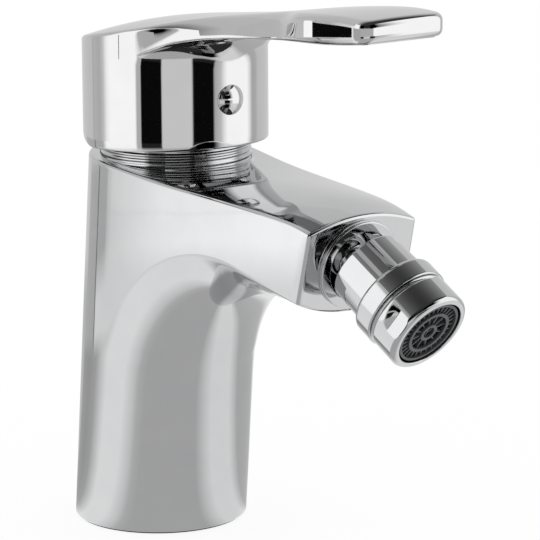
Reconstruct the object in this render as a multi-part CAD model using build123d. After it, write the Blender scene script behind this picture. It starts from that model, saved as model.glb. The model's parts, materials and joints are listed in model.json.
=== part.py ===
from build123d import *
import os
from math import asin, cos, pi, radians, sin, sqrt, tan

# Single-lever bidet mixer: brass body, ceramic-disc cartridge, paddle lever and ball-jointed outlet.
# Millimetres. The origin is the centre of the base ring on the deck, +X is the front, +Z is up.

# Overall places
overrun = 5.0                  # how far every cut runs past what it cuts
running_gap = 0.08             # radial gap of a turning or sliding fit
seat_gap = 0.1                 # gap between a loose piece and its seat
seal_gap = 0.05                # gap beside a seal in its groove

# Body casting, column
column_lean = 5.17             # degrees, forward lean of the column's axis
column_wall = 4.0
recess_height = 58.0           # height of the hollow under the body
base_edge_radius = 1.2

# Body casting, spout
spout_taper = 4.84             # degrees, each side face closes towards the front
face_top_x = 94.1
face_top_z = 99.1
face_tilt = 14.0               # degrees, end face leans back below its top edge
sweep_start_z = 41.5           # where the sweep under the spout leaves the column
sweep_radius = 37.5            # hollow curve under the spout, on the mid plane
sweep_dip = 0.2                # how far the sweep starts inside the column, so that it leaves it cleanly
face_bottom_z = 75.4           # underside of the spout at its end, on the mid plane
end_belly = 2.0                # how far the underside hangs below its side edges at the end
mid_belly = 8.6                # the same where the sweep turns level
top_rear_z = 108.0
top_run_shares = (0, 0.29, 0.465, 0.81, 1)     # stations along the top face, from the rear to the end face
top_fall_shares = (0, 0.12, 0.29, 0.67, 1)     # how far its side edge has come down at each
crown_rear = 0.5               # rise of the top face at its middle above its side edges
crown_front = 3.2
crease_overlap = 0.3           # how far the sweep's underside runs past the side faces

# Cartridge and the cavity that takes it
cartridge_x = 9.5              # its axis, in front of the base's centre
cavity_gap = 0.25              # radial, between the cartridge and its cavity
cavity_floor_z = 84.0
nut_ledge = 1.2                # how far the threaded ring's seat steps out from the cavity
column_rim = 3.4               # wall of the column beside the ring's thread
nut_seat_z = 102.5             # underside of the threaded ring
nut_top_z = 111.6
nut_hex_top_z = 114.2
nut_hex_step = 2.4             # the hexagon's flats lie this far inside the thread
nut_bore_gap = 0.4
thread_pitch = 1.25
thread_depth = 0.65
inlet_side_share = 0.5333      # places and sizes of the ports as shares of the fixed disc's radius
inlet_back_share = 0.4667
inlet_bore_share = 0.2267
outlet_ahead_share = 0.5667
outlet_bore_share = 0.2667

# Hose and stud connections in the brass block that closes the recess
block_height = 11.0
block_gap = 0.05               # radial gap of the block in the column
hose_thread_radius = 4.5
stud_thread_radius = 3.35
stud_thread_depth = 9.0
stud_ahead = 14.0

# Base seal
seal_edge = 1.0                # from the column's outside to the seal
seal_width = 1.9
seal_height = 1.8

# Cartridge pieces
housing_radius = 19.95
housing_wall = 3.4
housing_roof_top_z = 102.0
housing_roof = 2.4
neck_share = 0.712             # of the housing's radius
neck_wall = 1.7
neck_top_z = 113.0
washer_height = 0.45
base_plate_height = 4.0
base_plate_gap = 0.3
port_seal_height = 1.2
port_seal_wall = 1.3
fixed_disc_gap = 1.55          # between the fixed disc and the housing's bore
fixed_disc_height = 3.0
moving_disc_step = 2.5         # how much smaller the moving disc's radius is
moving_disc_height = 2.6
disc_gap = 0.05
mixing_pocket_depth = 1.6
carrier_height = 4.2
carrier_pocket_gap = 0.25
carrier_floor_gap = 0.3         # under the spindle's ball
ring_seal_section = 1.5
ring_seal_drop = 8.0           # o-ring below the housing's shoulder

# Spindle, guide and pivot
pivot_z = 116.0
lift_angle = 18.0              # degrees, closed to fully open
spindle_ball_radius = 2.2
spindle_neck_radius = 1.6      # between the ball and the rod
spindle_rod_radius = 2.5
spindle_eye_radius = 5.0
spindle_eye_width = 9.0
spindle_square = 8.0
spindle_top_z = 133.6
pivot_pin_radius = 1.5
pivot_pin_length = 22.0
guide_top_z = 118.4
guide_flange_gap = 1.15        # between the guide's flange and the housing's bore
guide_flange_height = 1.2
guide_slot_gap = 1.2           # behind the spindle's eye
guide_swing_gap = 0.86         # in front of the spindle when it has swung

# Lever: cap
cap_overhang = 4.8             # the cap's outside past the ring's thread
cap_wall = 2.1
cap_front_z = 112.5            # lower edge at the front
cap_low_z = 110.8              # lowest place of the lower edge
cap_low_x = 5.5
cap_mid_x = -6.4               # where the rear of the lower edge rises past the side
cap_mid_z = 114.0
cap_rear_z = 119.4
ceiling_thickness = 7.5
boss_radius = 9.6
boss_bottom_z = 122.6
socket_top_z = 134.4
bush_radius = 7.4
bush_bottom_z = 122.4
web_width = 9.0
web_bottom_z = 122.6
web_top_z = 130.6

# Lever: handle
handle_leave_angle = 60.0      # degrees from the front, where the handle's side leaves the cap
handle_waist_x = 62.0
handle_waist_half = 8.8
paddle_x = 100.0
paddle_half = 13.9
paddle_bow = 1.5                # how far the front edge bows out between its corners
paddle_corner = 3.0
tip_x = 112.6
cap_back_z = 139.6             # top of the cap at its rear
paddle_rise = 18.3             # from there to the highest place of the paddle
top_run_share = (-0.053, 0.091, 0.201, 0.323, 0.454, 0.586, 0.731, 0.882, 1.028)     # along the lever's length
top_rise_share = (-0.164, 0.186, 0.372, 0.486, 0.596, 0.718, 0.88, 0.99, 0.96)    # of the paddle's rise
under_run_share = (0.304, 0.361, 0.438, 0.562, 0.686, 0.841, 0.934, 1.028)
under_rise_share = (-0.082, 0.098, 0.24, 0.333, 0.41, 0.492, 0.557, 0.645)
top_crown_radius = 118.0

# Set screw and index plug
screw_z = 125.7
screw_radius = 2.5
screw_length = 10.0
screw_socket_across = 2.5
screw_socket_depth = 3.0
plug_radius = 4.25
plug_shank_radius = 3.4
plug_dome = 1.6

# Ball-jointed outlet: fixed side
seat_z = 88.7                  # height of the seat's centre on the end face
seat_thread_radius = 12.0
seat_depth = 10.5
seat_washer_height = 1.5
seat_washer_wall = 3.6
adapter_flange_radius = 12.6
adapter_flange_proud = 1.2
adapter_length = 8.8
ball_ahead = 8.4               # ball centre in front of the end face
ball_radius = 8.0
ball_neck_radius = 4.4
ball_bore_radius = 2.6
ball_tail_length = 6.0
dish_gap = 0.7                 # room between the cup's sweep and the dish

# Ball-jointed outlet: moving side, stations ahead of the ball's centre
swivel_turn_at_rest = 16.7     # degrees, the outlet is stored turned a little to one side
swivel_tilt_at_rest = 19.1     # degrees below the seat's axis
cup_back = 4.5
cup_back_radius = 10.6
cup_front_radius = 11.0
cup_thread_radius = 9.6
cup_mouth_radius = 7.2
collar_start = 6.8
collar_end = 13.7
collar_radius = 12.6
collar_bevel = 0.6
collar_bore_radius = 5.5
collar_nose_start = 3.2
groove_end = 14.4
groove_radius = 11.7
spigot_radius = 10.9
spigot_end = 17.0
aerator_end = 23.3
aerator_radius = 12.15
aerator_edge_radius = 1.4
aerator_lip = 1.2
aerator_mouth_radius = 10.1
flat_width = 8.0               # spanner flat on the aerator housing
flat_depth = 0.35
ball_seal_outer_radius = 8.95
ball_seal_start = 40.0         # degrees from the seat's axis
ball_seal_end = 62.0

# Aerator cartridge
gasket_height = 1.5
gasket_bore_radius = 7.4
insert_flange_radius = 10.75
insert_flange_height = 1.4
insert_radius = 9.95
insert_recess = 0.5            # grid face behind the housing's mouth
grid_depth = 1.3
grid_wall = 0.7
grid_mid_radius = 6.6
grid_hub_radius = 2.7
outer_ribs = 40
inner_ribs = 16
hub_spokes = 3
rib_width = 0.42
screen_height = 0.5
screen_pitch = 1.6
screen_wire = 0.45


def cylinder(radius, bottom, top, x=0.0, y=0.0):
    """Upright cylinder between two heights."""
    return Pos(x, y, bottom) * Cylinder(radius, top - bottom, align=(Align.CENTER, Align.CENTER, Align.MIN))


def tube(outer, inner, bottom, top, x=0.0, y=0.0):
    """Upright ring between two heights."""
    bore = cylinder(inner, bottom - overrun, top + overrun, x, y)
    return cylinder(outer, bottom, top, x, y) - bore


def lathe(*points):
    """Solid turned about Z from an outline of (radius, height) points."""
    return revolve(Plane.XZ * make_face(Polyline(*points, close=True)), Axis.Z)


def block(x_span, y_span, z_span):
    """Box between pairs of coordinates."""
    size = [span[1] - span[0] for span in (x_span, y_span, z_span)]
    return Pos(x_span[0], y_span[0], z_span[0]) * Box(*size, align=(Align.MIN, Align.MIN, Align.MIN))


def rod_between(start, end, radius):
    """Round bar from one point to another on the mid plane."""
    run = Vector(*end) - Vector(*start)
    return Plane(origin=start, z_dir=run) * Cylinder(radius, run.length, align=(Align.CENTER, Align.CENTER, Align.MIN))


# Worked-out sizes and places shared by several pieces
cavity_radius = housing_radius + cavity_gap
nut_thread_radius = cavity_radius + nut_ledge
nut_hex_across = 2 * (nut_thread_radius - nut_hex_step)
column_radius = nut_thread_radius + column_rim
recess_radius = column_radius - column_wall
seal_outer_radius = column_radius - seal_edge
seal_inner_radius = seal_outer_radius - seal_width
cap_radius = nut_thread_radius + cap_overhang
paddle_top_z = cap_back_z + paddle_rise
lean_slope = tan(radians(column_lean))
taper_sine = sin(radians(spout_taper))
taper_cosine = cos(radians(spout_taper))
face_slope = tan(radians(face_tilt))
face_x = face_top_x - (face_top_z - seat_z) * face_slope
seat_axis = (cos(radians(face_tilt)), 0, -sin(radians(face_tilt)))
ball_x = face_x + ball_ahead * seat_axis[0]
ball_z = seat_z + ball_ahead * seat_axis[2]
neck_radius = housing_radius * neck_share
neck_bore_radius = neck_radius - neck_wall
housing_bore_radius = housing_radius - housing_wall
fixed_disc_radius = housing_bore_radius - fixed_disc_gap
moving_disc_radius = fixed_disc_radius - moving_disc_step
inlet_x = cartridge_x - fixed_disc_radius * inlet_back_share
inlet_y = fixed_disc_radius * inlet_side_share
inlet_bore_radius = fixed_disc_radius * inlet_bore_share
outlet_x = cartridge_x + fixed_disc_radius * outlet_ahead_share
outlet_bore_radius = fixed_disc_radius * outlet_bore_share
guide_flange_radius = housing_bore_radius - guide_flange_gap
roof_under_z = housing_roof_top_z - housing_roof
base_plate_bottom_z = cavity_floor_z + base_plate_gap
fixed_disc_bottom_z = base_plate_bottom_z + base_plate_height
moving_disc_bottom_z = fixed_disc_bottom_z + fixed_disc_height + disc_gap
carrier_bottom_z = moving_disc_bottom_z + moving_disc_height
carrier_top_z = carrier_bottom_z + carrier_height
spindle_ball_z = carrier_bottom_z + carrier_floor_gap + spindle_ball_radius
spindle_arm = pivot_z - spindle_ball_z
disc_travel = spindle_arm * sin(radians(lift_angle))
disc_rest_x = cartridge_x - disc_travel / 2
guide_slot_back = spindle_eye_radius + guide_slot_gap
guide_slot_front = disc_travel + spindle_rod_radius + guide_swing_gap


def leaning(radius, bottom, top):
    """Cylinder along the column's leaning axis, level at both ends."""
    length = (top - bottom) / cos(radians(column_lean))
    return Pos(lean_slope * bottom, 0, bottom) * extrude(Circle(radius), amount=length, dir=(lean_slope, 0, 1))


def half_width(x, z):
    """Half the spout's width at a place on its side face."""
    return (column_radius - (x - lean_slope * z) * taper_sine) / taper_cosine


def seat_plane():
    """Frame at the ball's centre: local z along the seat, local x downwards."""
    down = (seat_axis[2], 0, -seat_axis[0])
    return Plane(origin=(ball_x, 0, ball_z), x_dir=down, z_dir=seat_axis)


def outlet_plane():
    """Frame at the ball's centre with local z along the outlet as it is stored."""
    seat = seat_plane()
    tilt = radians(swivel_tilt_at_rest)
    turn = radians(swivel_turn_at_rest)
    side = seat.x_dir * cos(turn) + Vector(0, 1, 0) * sin(turn)
    stem = seat.z_dir * cos(tilt) + side * sin(tilt)
    across = stem.cross(side)
    return Plane(origin=seat.origin, x_dir=across, z_dir=stem)


# Body casting

def sweep_section(centre, angle, near, belly, spread):
    """One cross-section of the space above the sweep, on a plane through the sweep's centre line."""
    away = Vector(-cos(angle), 0, sin(angle))
    section_plane = Plane(origin=centre, x_dir=away, z_dir=away.cross(Vector(0, 1, 0)))
    crease = centre + away * (near + belly)
    half = half_width(crease.X, crease.Z)
    arc_radius = (half ** 2 + belly ** 2) / (2 * belly)
    half_out = min(half + spread, arc_radius)
    belly_out = arc_radius - sqrt(arc_radius ** 2 - half_out ** 2)
    wide = 2 * column_radius
    far = near + 4 * column_radius
    arc_steps = 8
    open_angle = asin(half_out / arc_radius)
    arc_points = []
    for number in range(arc_steps + 1):
        turn = open_angle * (2 * number / arc_steps - 1)
        arc_points.append((near + arc_radius * (1 - cos(turn)), arc_radius * sin(turn)))
    ends = ((sin(-open_angle), cos(open_angle)), (sin(open_angle), cos(open_angle)))
    outline = [
        Spline(*arc_points, tangents=ends),
        Polyline(arc_points[-1], (near + belly_out, wide), (far, wide), (far, -wide), (near + belly_out, -wide),
                 arc_points[0]),
    ]
    return section_plane * make_face(Curve() + outline)


def space_above_sweep():
    """Everything above the hollow curve that joins the column to the spout's underside."""
    start_angle = radians(column_lean)
    start = Vector(lean_slope * sweep_start_z + column_radius - sweep_dip, 0, sweep_start_z)
    centre = start + Vector(cos(start_angle), 0, -sin(start_angle)) * sweep_radius
    turn_steps = 18
    sections = []
    for step in range(turn_steps + 1):
        share = step / turn_steps
        angle = start_angle + (pi / 2 - start_angle) * share
        belly = column_radius + (mid_belly - column_radius) * share
        spread = crease_overlap * min(share * 3, 1)
        sections.append(sweep_section(centre, angle, sweep_radius, belly, spread))
    run_steps = 3
    run_length = face_top_x + overrun - centre.X
    rise = face_bottom_z - (centre.Z + sweep_radius)
    for step in range(1, run_steps + 1):
        share = step / run_steps
        place_along = centre + Vector(run_length * share, 0, 0)
        belly = mid_belly + (end_belly - mid_belly) * share
        sections.append(sweep_section(place_along, pi / 2, sweep_radius + rise * share, belly, crease_overlap))
    return loft(sections, ruled=True)


def space_above_top():
    """Everything above the spout's crowned top face."""
    wide = 1.3 * column_radius
    sections = []
    for run, fall in zip(top_run_shares, top_fall_shares):
        x = run * (face_top_x + column_radius) - column_radius
        z = top_rear_z + fall * (face_top_z - top_rear_z)
        crown = crown_rear + (crown_front - crown_rear) * run
        half = half_width(max(x, cartridge_x), z)
        drop = crown * (wide / half) ** 2
        middle = z + crown
        ceiling = top_rear_z + column_radius
        outline = [
            ThreePointArc((-wide, middle - drop), (0, middle), (wide, middle - drop)),
            Polyline((wide, middle - drop), (wide, ceiling), (-wide, ceiling), (-wide, middle - drop)),
        ]
        sections.append(place_section(x, outline))
    front = sections[-1]
    rest = extrude(front, amount=overrun)
    return loft(sections) + rest


def place_section(x, outline):
    """Face at a station x from an outline in (y, z)."""
    plane = Plane(origin=(x, 0, 0), x_dir=(0, 1, 0), z_dir=(1, 0, 0))
    return plane * make_face(Curve() + outline)


def body_outside():
    """Outer form of the casting, column and spout in one."""
    slope = (lean_slope, 0, 1)
    height = top_rear_z + overrun
    tip = face_top_x + 2 * overrun
    touch_x = column_radius * taper_sine
    touch_y = column_radius * taper_cosine
    tip_half = half_width(tip, 0)
    plan = make_face(
        Curve()
        + [
            ThreePointArc((touch_x, touch_y), (-column_radius, 0), (touch_x, -touch_y)),
            Polyline((touch_x, -touch_y), (tip, -tip_half), (tip, tip_half), (touch_x, touch_y)),
        ]
    )
    whole = extrude(plan, amount=height, dir=slope)
    column = extrude(Circle(column_radius), amount=sweep_start_z + 2 * overrun, dir=slope)
    spout = whole & space_above_sweep()
    body = column + spout - space_above_top()
    cutter = Plane(origin=(face_x, 0, seat_z), x_dir=(0, 1, 0), z_dir=seat_axis)
    body -= cutter * Box(*(4 * column_radius,) * 3, align=(Align.CENTER, Align.CENTER, Align.MIN))
    bottom = body.edges().group_by(Axis.Z)[0]
    return fillet(bottom, base_edge_radius)


def thread_rings(crest, bottom, top, x=0.0):
    """Turned thread profile as a stack of vee-sided ridges."""
    root = crest - thread_depth
    outline = [(0, bottom), (root, bottom)]
    z = bottom
    while z + thread_pitch <= top:
        outline += [(crest, z + thread_pitch / 4), (crest, z + thread_pitch * 5 / 8), (root, z + thread_pitch * 7 / 8)]
        z += thread_pitch
        outline.append((root, z))
    outline += [(root, top), (0, top)]
    return Pos(x, 0, 0) * lathe(*outline)


def body():
    """Brass casting with its cartridge cavity, waterways and open base."""
    solid = body_outside()
    solid -= leaning(recess_radius, 0, recess_height + block_height)
    solid -= cylinder(cavity_radius, cavity_floor_z, top_rear_z + overrun, cartridge_x)
    solid -= cylinder(nut_thread_radius, nut_seat_z - washer_height, top_rear_z + overrun, cartridge_x)
    for side in (-1, 1):
        solid -= cylinder(inlet_bore_radius, recess_height, cavity_floor_z + overrun, inlet_x, side * inlet_y)
    seat_bottom = seat_plane() * Pos(0, 0, -ball_ahead - seat_depth)
    seat_cut = Cylinder(seat_thread_radius, seat_depth + overrun, align=(Align.CENTER, Align.CENTER, Align.MIN))
    solid -= seat_bottom * seat_cut
    channel_z = cavity_floor_z - 2 * outlet_bore_radius + seat_gap
    seat_end = seat_bottom.position
    solid -= rod_between((outlet_x, 0, channel_z), (seat_end.X, 0, seat_end.Z), outlet_bore_radius)
    solid -= cylinder(outlet_bore_radius, channel_z, cavity_floor_z + overrun, outlet_x)
    solid -= tube(seal_outer_radius, seal_inner_radius, -overrun, seal_height)
    return solid


def hose_block():
    """Brass block fixed in the top of the recess, with the two hose threads and the stud thread."""
    top = recess_height + block_height
    solid = leaning(recess_radius - block_gap, recess_height, top)
    for side in (-1, 1):
        solid -= cylinder(hose_thread_radius, recess_height - overrun, top + overrun, inlet_x, side * inlet_y)
    return solid - cylinder(stud_thread_radius, recess_height - overrun, recess_height + stud_thread_depth, stud_ahead)


def base_seal():
    """Flat rubber ring let into the base."""
    return tube(seal_outer_radius - seal_gap, seal_inner_radius + seal_gap, 0, seal_height)


# Cartridge

def nut():
    """Brass ring that clamps the cartridge, threaded outside, with a hexagon above."""
    threaded = thread_rings(nut_thread_radius - seal_gap, nut_seat_z, nut_top_z, cartridge_x)
    hexagon = extrude(RegularPolygon(nut_hex_across / 2, 6, major_radius=False), amount=nut_hex_top_z - nut_top_z)
    solid = threaded + Pos(cartridge_x, 0, nut_top_z) * hexagon
    return solid - cylinder(neck_radius + nut_bore_gap, nut_seat_z - overrun, nut_hex_top_z + overrun, cartridge_x)


def slide_washer():
    """Thin washer between the ring nut and the cartridge's shoulder."""
    return tube(housing_radius, neck_radius + nut_bore_gap, nut_seat_z - washer_height, nut_seat_z, cartridge_x)


def housing():
    """Plastic shell of the cartridge, with its neck."""
    bottom = fixed_disc_bottom_z
    outside = lathe(
        (0, bottom),
        (housing_radius, bottom),
        (housing_radius, housing_roof_top_z),
        (neck_radius, housing_roof_top_z),
        (neck_radius, neck_top_z),
        (0, neck_top_z),
    )
    solid = Pos(cartridge_x, 0, 0) * outside
    solid -= cylinder(housing_bore_radius, bottom - overrun, roof_under_z, cartridge_x)
    solid -= cylinder(neck_bore_radius, bottom, neck_top_z + overrun, cartridge_x)
    groove_z = housing_roof_top_z - ring_seal_drop
    groove_floor = housing_radius - ring_seal_section
    groove = tube(cavity_radius, groove_floor, groove_z, groove_z + ring_seal_section, cartridge_x)
    return solid - groove


def housing_seal():
    """O-ring between the cartridge and the cavity's wall."""
    groove_z = housing_roof_top_z - ring_seal_drop
    tube_radius = ring_seal_section / 2 - seal_gap
    ring_radius = housing_radius - ring_seal_section / 2
    return Pos(cartridge_x, 0, groove_z + ring_seal_section / 2) * Torus(ring_radius, tube_radius)


def port_places():
    """The cartridge's three ports: x, y and bore radius."""
    return (
        (inlet_x, -inlet_y, inlet_bore_radius),
        (inlet_x, inlet_y, inlet_bore_radius),
        (outlet_x, 0, outlet_bore_radius),
    )


def cartridge_base():
    """Plastic foot of the cartridge, with its ports and seal pockets."""
    solid = cylinder(housing_radius, base_plate_bottom_z, fixed_disc_bottom_z, cartridge_x)
    pocket_top = cavity_floor_z + port_seal_height
    for x, y, bore in port_places():
        solid -= cylinder(bore, base_plate_bottom_z - overrun, fixed_disc_bottom_z + overrun, x, y)
        solid -= cylinder(bore + port_seal_wall, base_plate_bottom_z - overrun, pocket_top, x, y)
    return solid


def port_seals():
    """Rubber rings under the three ports."""
    rings = []
    for x, y, bore in port_places():
        outer = bore + port_seal_wall - seal_gap
        rings.append(tube(outer, bore, cavity_floor_z, cavity_floor_z + port_seal_height, x, y))
    return Compound(children=rings)


def fixed_disc():
    """Ceramic disc that stays with the ports."""
    solid = cylinder(fixed_disc_radius, fixed_disc_bottom_z, fixed_disc_bottom_z + fixed_disc_height, cartridge_x)
    for x, y, bore in port_places():
        solid -= cylinder(bore - seat_gap, fixed_disc_bottom_z - overrun, moving_disc_bottom_z + overrun, x, y)
    return solid


def moving_disc():
    """Ceramic disc that slides and turns on the fixed one, with its mixing pocket below."""
    solid = cylinder(moving_disc_radius, moving_disc_bottom_z, carrier_bottom_z, disc_rest_x)
    pocket = cylinder(moving_disc_radius / 2, moving_disc_bottom_z - overrun,
                      moving_disc_bottom_z + mixing_pocket_depth, disc_rest_x)
    return solid - pocket


def disc_carrier():
    """Plastic driver on the moving disc, with the pocket for the spindle's ball."""
    solid = cylinder(moving_disc_radius, carrier_bottom_z, carrier_top_z, disc_rest_x)
    pocket_radius = spindle_ball_radius + carrier_pocket_gap
    return solid - cylinder(pocket_radius, carrier_bottom_z, carrier_top_z + overrun, cartridge_x)


def spindle_guide():
    """Turning sleeve in the cartridge's neck that carries the pivot pin."""
    radius = neck_bore_radius - running_gap
    flange_top = roof_under_z - running_gap
    solid = cylinder(radius, flange_top - guide_flange_height, guide_top_z, cartridge_x)
    solid += cylinder(guide_flange_radius, flange_top - guide_flange_height, flange_top, cartridge_x)
    half = spindle_eye_width / 2 + seat_gap
    slot_x = (cartridge_x - guide_slot_back, cartridge_x + guide_slot_front)
    solid -= block(slot_x, (-half, half), (carrier_top_z - overrun, guide_top_z + overrun))
    pin_hole = Pos(cartridge_x, 0, pivot_z) * Rot(90, 0, 0) * Cylinder(pivot_pin_radius, 4 * radius)
    return solid - pin_hole


def pivot_pin():
    """Steel pin that the spindle rocks on."""
    return Pos(cartridge_x, 0, pivot_z) * Rot(90, 0, 0) * Cylinder(pivot_pin_radius, pivot_pin_length)


def spindle():
    """Steel spindle: ball below, eye on the pivot, square above."""
    solid = Pos(cartridge_x, 0, spindle_ball_z) * Sphere(spindle_ball_radius)
    rod_bottom = carrier_top_z + spindle_ball_radius
    solid += cylinder(spindle_neck_radius, spindle_ball_z, rod_bottom, cartridge_x)
    solid += cylinder(spindle_rod_radius, rod_bottom, pivot_z, cartridge_x)
    solid += Pos(cartridge_x, 0, pivot_z) * Rot(90, 0, 0) * Cylinder(spindle_eye_radius, spindle_eye_width)
    half = spindle_square / 2
    solid += block((cartridge_x - half, cartridge_x + half), (-half, half), (pivot_z, spindle_top_z))
    hole = Cylinder(pivot_pin_radius + running_gap, 2 * spindle_eye_width)
    return solid - Pos(cartridge_x, 0, pivot_z) * Rot(90, 0, 0) * hole


# Lever

def lever_places(run_share, rise_share):
    """Places (x, z) along the lever from shares of its length and of its rise."""
    back_x = cartridge_x - cap_radius
    along = [back_x + share * (tip_x - back_x) for share in run_share]
    up = [cap_back_z + share * (paddle_top_z - cap_back_z) for share in rise_share]
    return list(zip(along, up))


def lever_plan():
    """Outline of the lever from above: round cap, waisted handle, paddle with a bowed front edge."""
    angle = radians(handle_leave_angle)
    leave_x = cartridge_x + cap_radius * cos(angle)
    leave_y = cap_radius * sin(angle)
    nose_x = tip_x - paddle_bow
    upper = Spline(
        (leave_x, leave_y),
        (handle_waist_x, handle_waist_half),
        (paddle_x, paddle_half),
        tangents=((sin(angle), -cos(angle)), (1, 0)),
    )
    lower = mirror(upper, Plane.XZ)
    shoulder = Line((paddle_x, paddle_half), (nose_x, paddle_half))
    nose = ThreePointArc((nose_x, paddle_half), (tip_x, 0), (nose_x, -paddle_half))
    back = ThreePointArc((leave_x, leave_y), (cartridge_x - cap_radius, 0), (leave_x, -leave_y))
    plan = make_face(Curve() + [back, upper, shoulder, nose, mirror(shoulder, Plane.XZ), lower])
    corners = plan.vertices().sort_by(Axis.X)[-2:]
    return fillet(corners, paddle_corner)


def lever_top():
    """Everything above the lever's crowned top face."""
    wide = 1.2 * cap_radius
    drop = top_crown_radius - sqrt(top_crown_radius ** 2 - wide ** 2)
    ceiling = paddle_top_z + cap_radius
    sections = []
    for x, z in lever_places(top_run_share, top_rise_share):
        outline = [
            ThreePointArc((-wide, z - drop), (0, z), (wide, z - drop)),
            Polyline((wide, z - drop), (wide, ceiling), (-wide, ceiling), (-wide, z - drop)),
        ]
        sections.append(place_section(x, outline))
    return loft(sections)


def space_under_handle():
    """Everything below the handle's underside, in front of the cap's middle."""
    floor = cap_low_z - overrun
    wide = 2 * cap_radius
    places = lever_places(under_run_share, under_rise_share)
    rise = Spline(*places)
    first = places[0]
    last = places[-1]
    back = Polyline(first, (cartridge_x, first[1]), (cartridge_x, floor), (last[0], floor), last)
    profile = Plane.XZ * make_face(Curve() + [rise, back])
    space = extrude(profile, amount=wide / 2, both=True)
    return space - cylinder(cap_radius, floor - overrun, paddle_top_z, cartridge_x)


def cap_skirt_cut():
    """Space under the cap: level at the front, rising at the rear to let the lever lift."""
    wide = 2 * cap_radius
    rear_x = cartridge_x - cap_radius
    floor = cap_low_z - 2 * overrun
    front_x = cartridge_x + cap_radius + overrun
    rear_rise = Spline(
        (cap_low_x, cap_low_z),
        (cap_mid_x, cap_mid_z),
        (rear_x, cap_rear_z),
        tangents=((-1, 0), (-1, 1)),
    )
    rest = Polyline(
        (rear_x, cap_rear_z),
        (rear_x - overrun, cap_rear_z + overrun),
        (rear_x - overrun, floor),
        (front_x, floor),
        (front_x, cap_front_z),
        (cap_low_x, cap_low_z),
    )
    profile = Plane.XZ * make_face(Curve() + [rear_rise, rest])
    return extrude(profile, amount=wide / 2, both=True)


def lever():
    """Chromed lever: cap, handle and the inner boss that takes the bush."""
    plan = lever_plan()
    height = paddle_top_z + overrun - cap_low_z
    whole = Pos(0, 0, cap_low_z - overrun) * extrude(plan, amount=height + overrun)
    solid = whole - space_under_handle() - lever_top() - cap_skirt_cut()
    hollow = cylinder(cap_radius - cap_wall, cap_low_z - 2 * overrun, paddle_top_z, cartridge_x)
    hollow -= Pos(0, 0, -ceiling_thickness) * lever_top()
    boss = cylinder(boss_radius, boss_bottom_z, paddle_top_z, cartridge_x)
    half = web_width / 2
    boss += block((cartridge_x, cartridge_x + cap_radius - cap_wall / 2), (-half, half), (web_bottom_z, web_top_z))
    solid -= hollow - boss
    solid -= cylinder(bush_radius + seal_gap, boss_bottom_z - overrun, socket_top_z, cartridge_x)
    front = cartridge_x + cap_radius + overrun
    along = (front, 0, screw_z)
    solid -= rod_between((cartridge_x, 0, screw_z), along, screw_radius + seal_gap)
    plug_start = cartridge_x + cap_radius - cap_wall - plug_dome
    solid -= rod_between((plug_start, 0, screw_z), along, plug_shank_radius + seal_gap)
    plug_seat = (cartridge_x + cap_radius - plug_seat_depth(), 0, screw_z)
    return solid - rod_between(plug_seat, along, plug_radius + seal_gap)


def lever_bush():
    """Plastic bush between the lever's socket and the spindle's square."""
    half = spindle_square / 2 + seal_gap
    solid = cylinder(bush_radius, bush_bottom_z, socket_top_z - seat_gap, cartridge_x)
    square = block((cartridge_x - half, cartridge_x + half), (-half, half), (bush_bottom_z - overrun, spindle_top_z))
    solid -= square
    screw_way = rod_between((cartridge_x, 0, screw_z), (cartridge_x + cap_radius, 0, screw_z), screw_radius + seal_gap)
    return solid - screw_way


def set_screw():
    """Grub screw that clamps the lever on the spindle."""
    start = cartridge_x + spindle_square / 2 + seal_gap
    solid = rod_between((start, 0, screw_z), (start + screw_length, 0, screw_z), screw_radius)
    socket_plane = Plane(origin=(start + screw_length - screw_socket_depth, 0, screw_z), z_dir=(1, 0, 0))
    socket = extrude(RegularPolygon(screw_socket_across / 2, 6, major_radius=False), amount=screw_socket_depth)
    return solid - socket_plane * socket


def plug_seat_depth():
    """Depth of the plug's flat seat, just as far as the round wall falls away beside it."""
    return cap_radius - sqrt(cap_radius ** 2 - plug_radius ** 2)


def index_plug():
    """Small domed plug over the set screw."""
    wall_drop = plug_seat_depth()
    sphere_radius = (plug_radius ** 2 + plug_dome ** 2) / (2 * plug_dome)
    half_angle = asin(plug_radius / sphere_radius) / 2
    halfway = (sphere_radius * sin(half_angle), plug_dome - sphere_radius * (1 - cos(half_angle)))
    sides = Polyline((0, plug_dome), (0, -cap_wall), (plug_shank_radius, -cap_wall), (plug_shank_radius, -wall_drop),
                     (plug_radius, -wall_drop), (plug_radius, 0))
    outline = Curve() + [sides, ThreePointArc((plug_radius, 0), halfway, (0, plug_dome))]
    turned = revolve(Plane.XZ * make_face(outline), Axis.Z)
    return Plane(origin=(cartridge_x + cap_radius, 0, screw_z), z_dir=(1, 0, 0)) * turned


# Ball-jointed outlet, fixed side

def adapter():
    """Threaded seat ring in the spout, with a dished front that clears the cup."""
    back = -ball_ahead - adapter_length
    front = -ball_ahead + adapter_flange_proud
    thread = seat_thread_radius - seal_gap
    outside = lathe(
        (0, back),
        (thread, back),
        (thread, -ball_ahead),
        (adapter_flange_radius, -ball_ahead),
        (adapter_flange_radius, front),
        (0, front),
    )
    rim = outside.edges().group_by(Axis.Z)[-1]
    solid = fillet(rim, adapter_flange_proud / 3)
    solid -= Sphere(cup_sweep_radius() + dish_gap)
    tail_start = -dish_floor() - ball_tail_length
    solid -= cylinder(ball_neck_radius + seal_gap, tail_start, 0)
    solid -= cylinder(ball_bore_radius, back - overrun, 0)
    return seat_plane() * solid


def cup_sweep_radius():
    """Reach of the cup's back corner from the ball's centre."""
    return sqrt(cup_back ** 2 + cup_back_radius ** 2)


def dish_floor():
    """Depth of the dish's lowest place behind the ball's centre."""
    return cup_sweep_radius() + dish_gap


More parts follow.
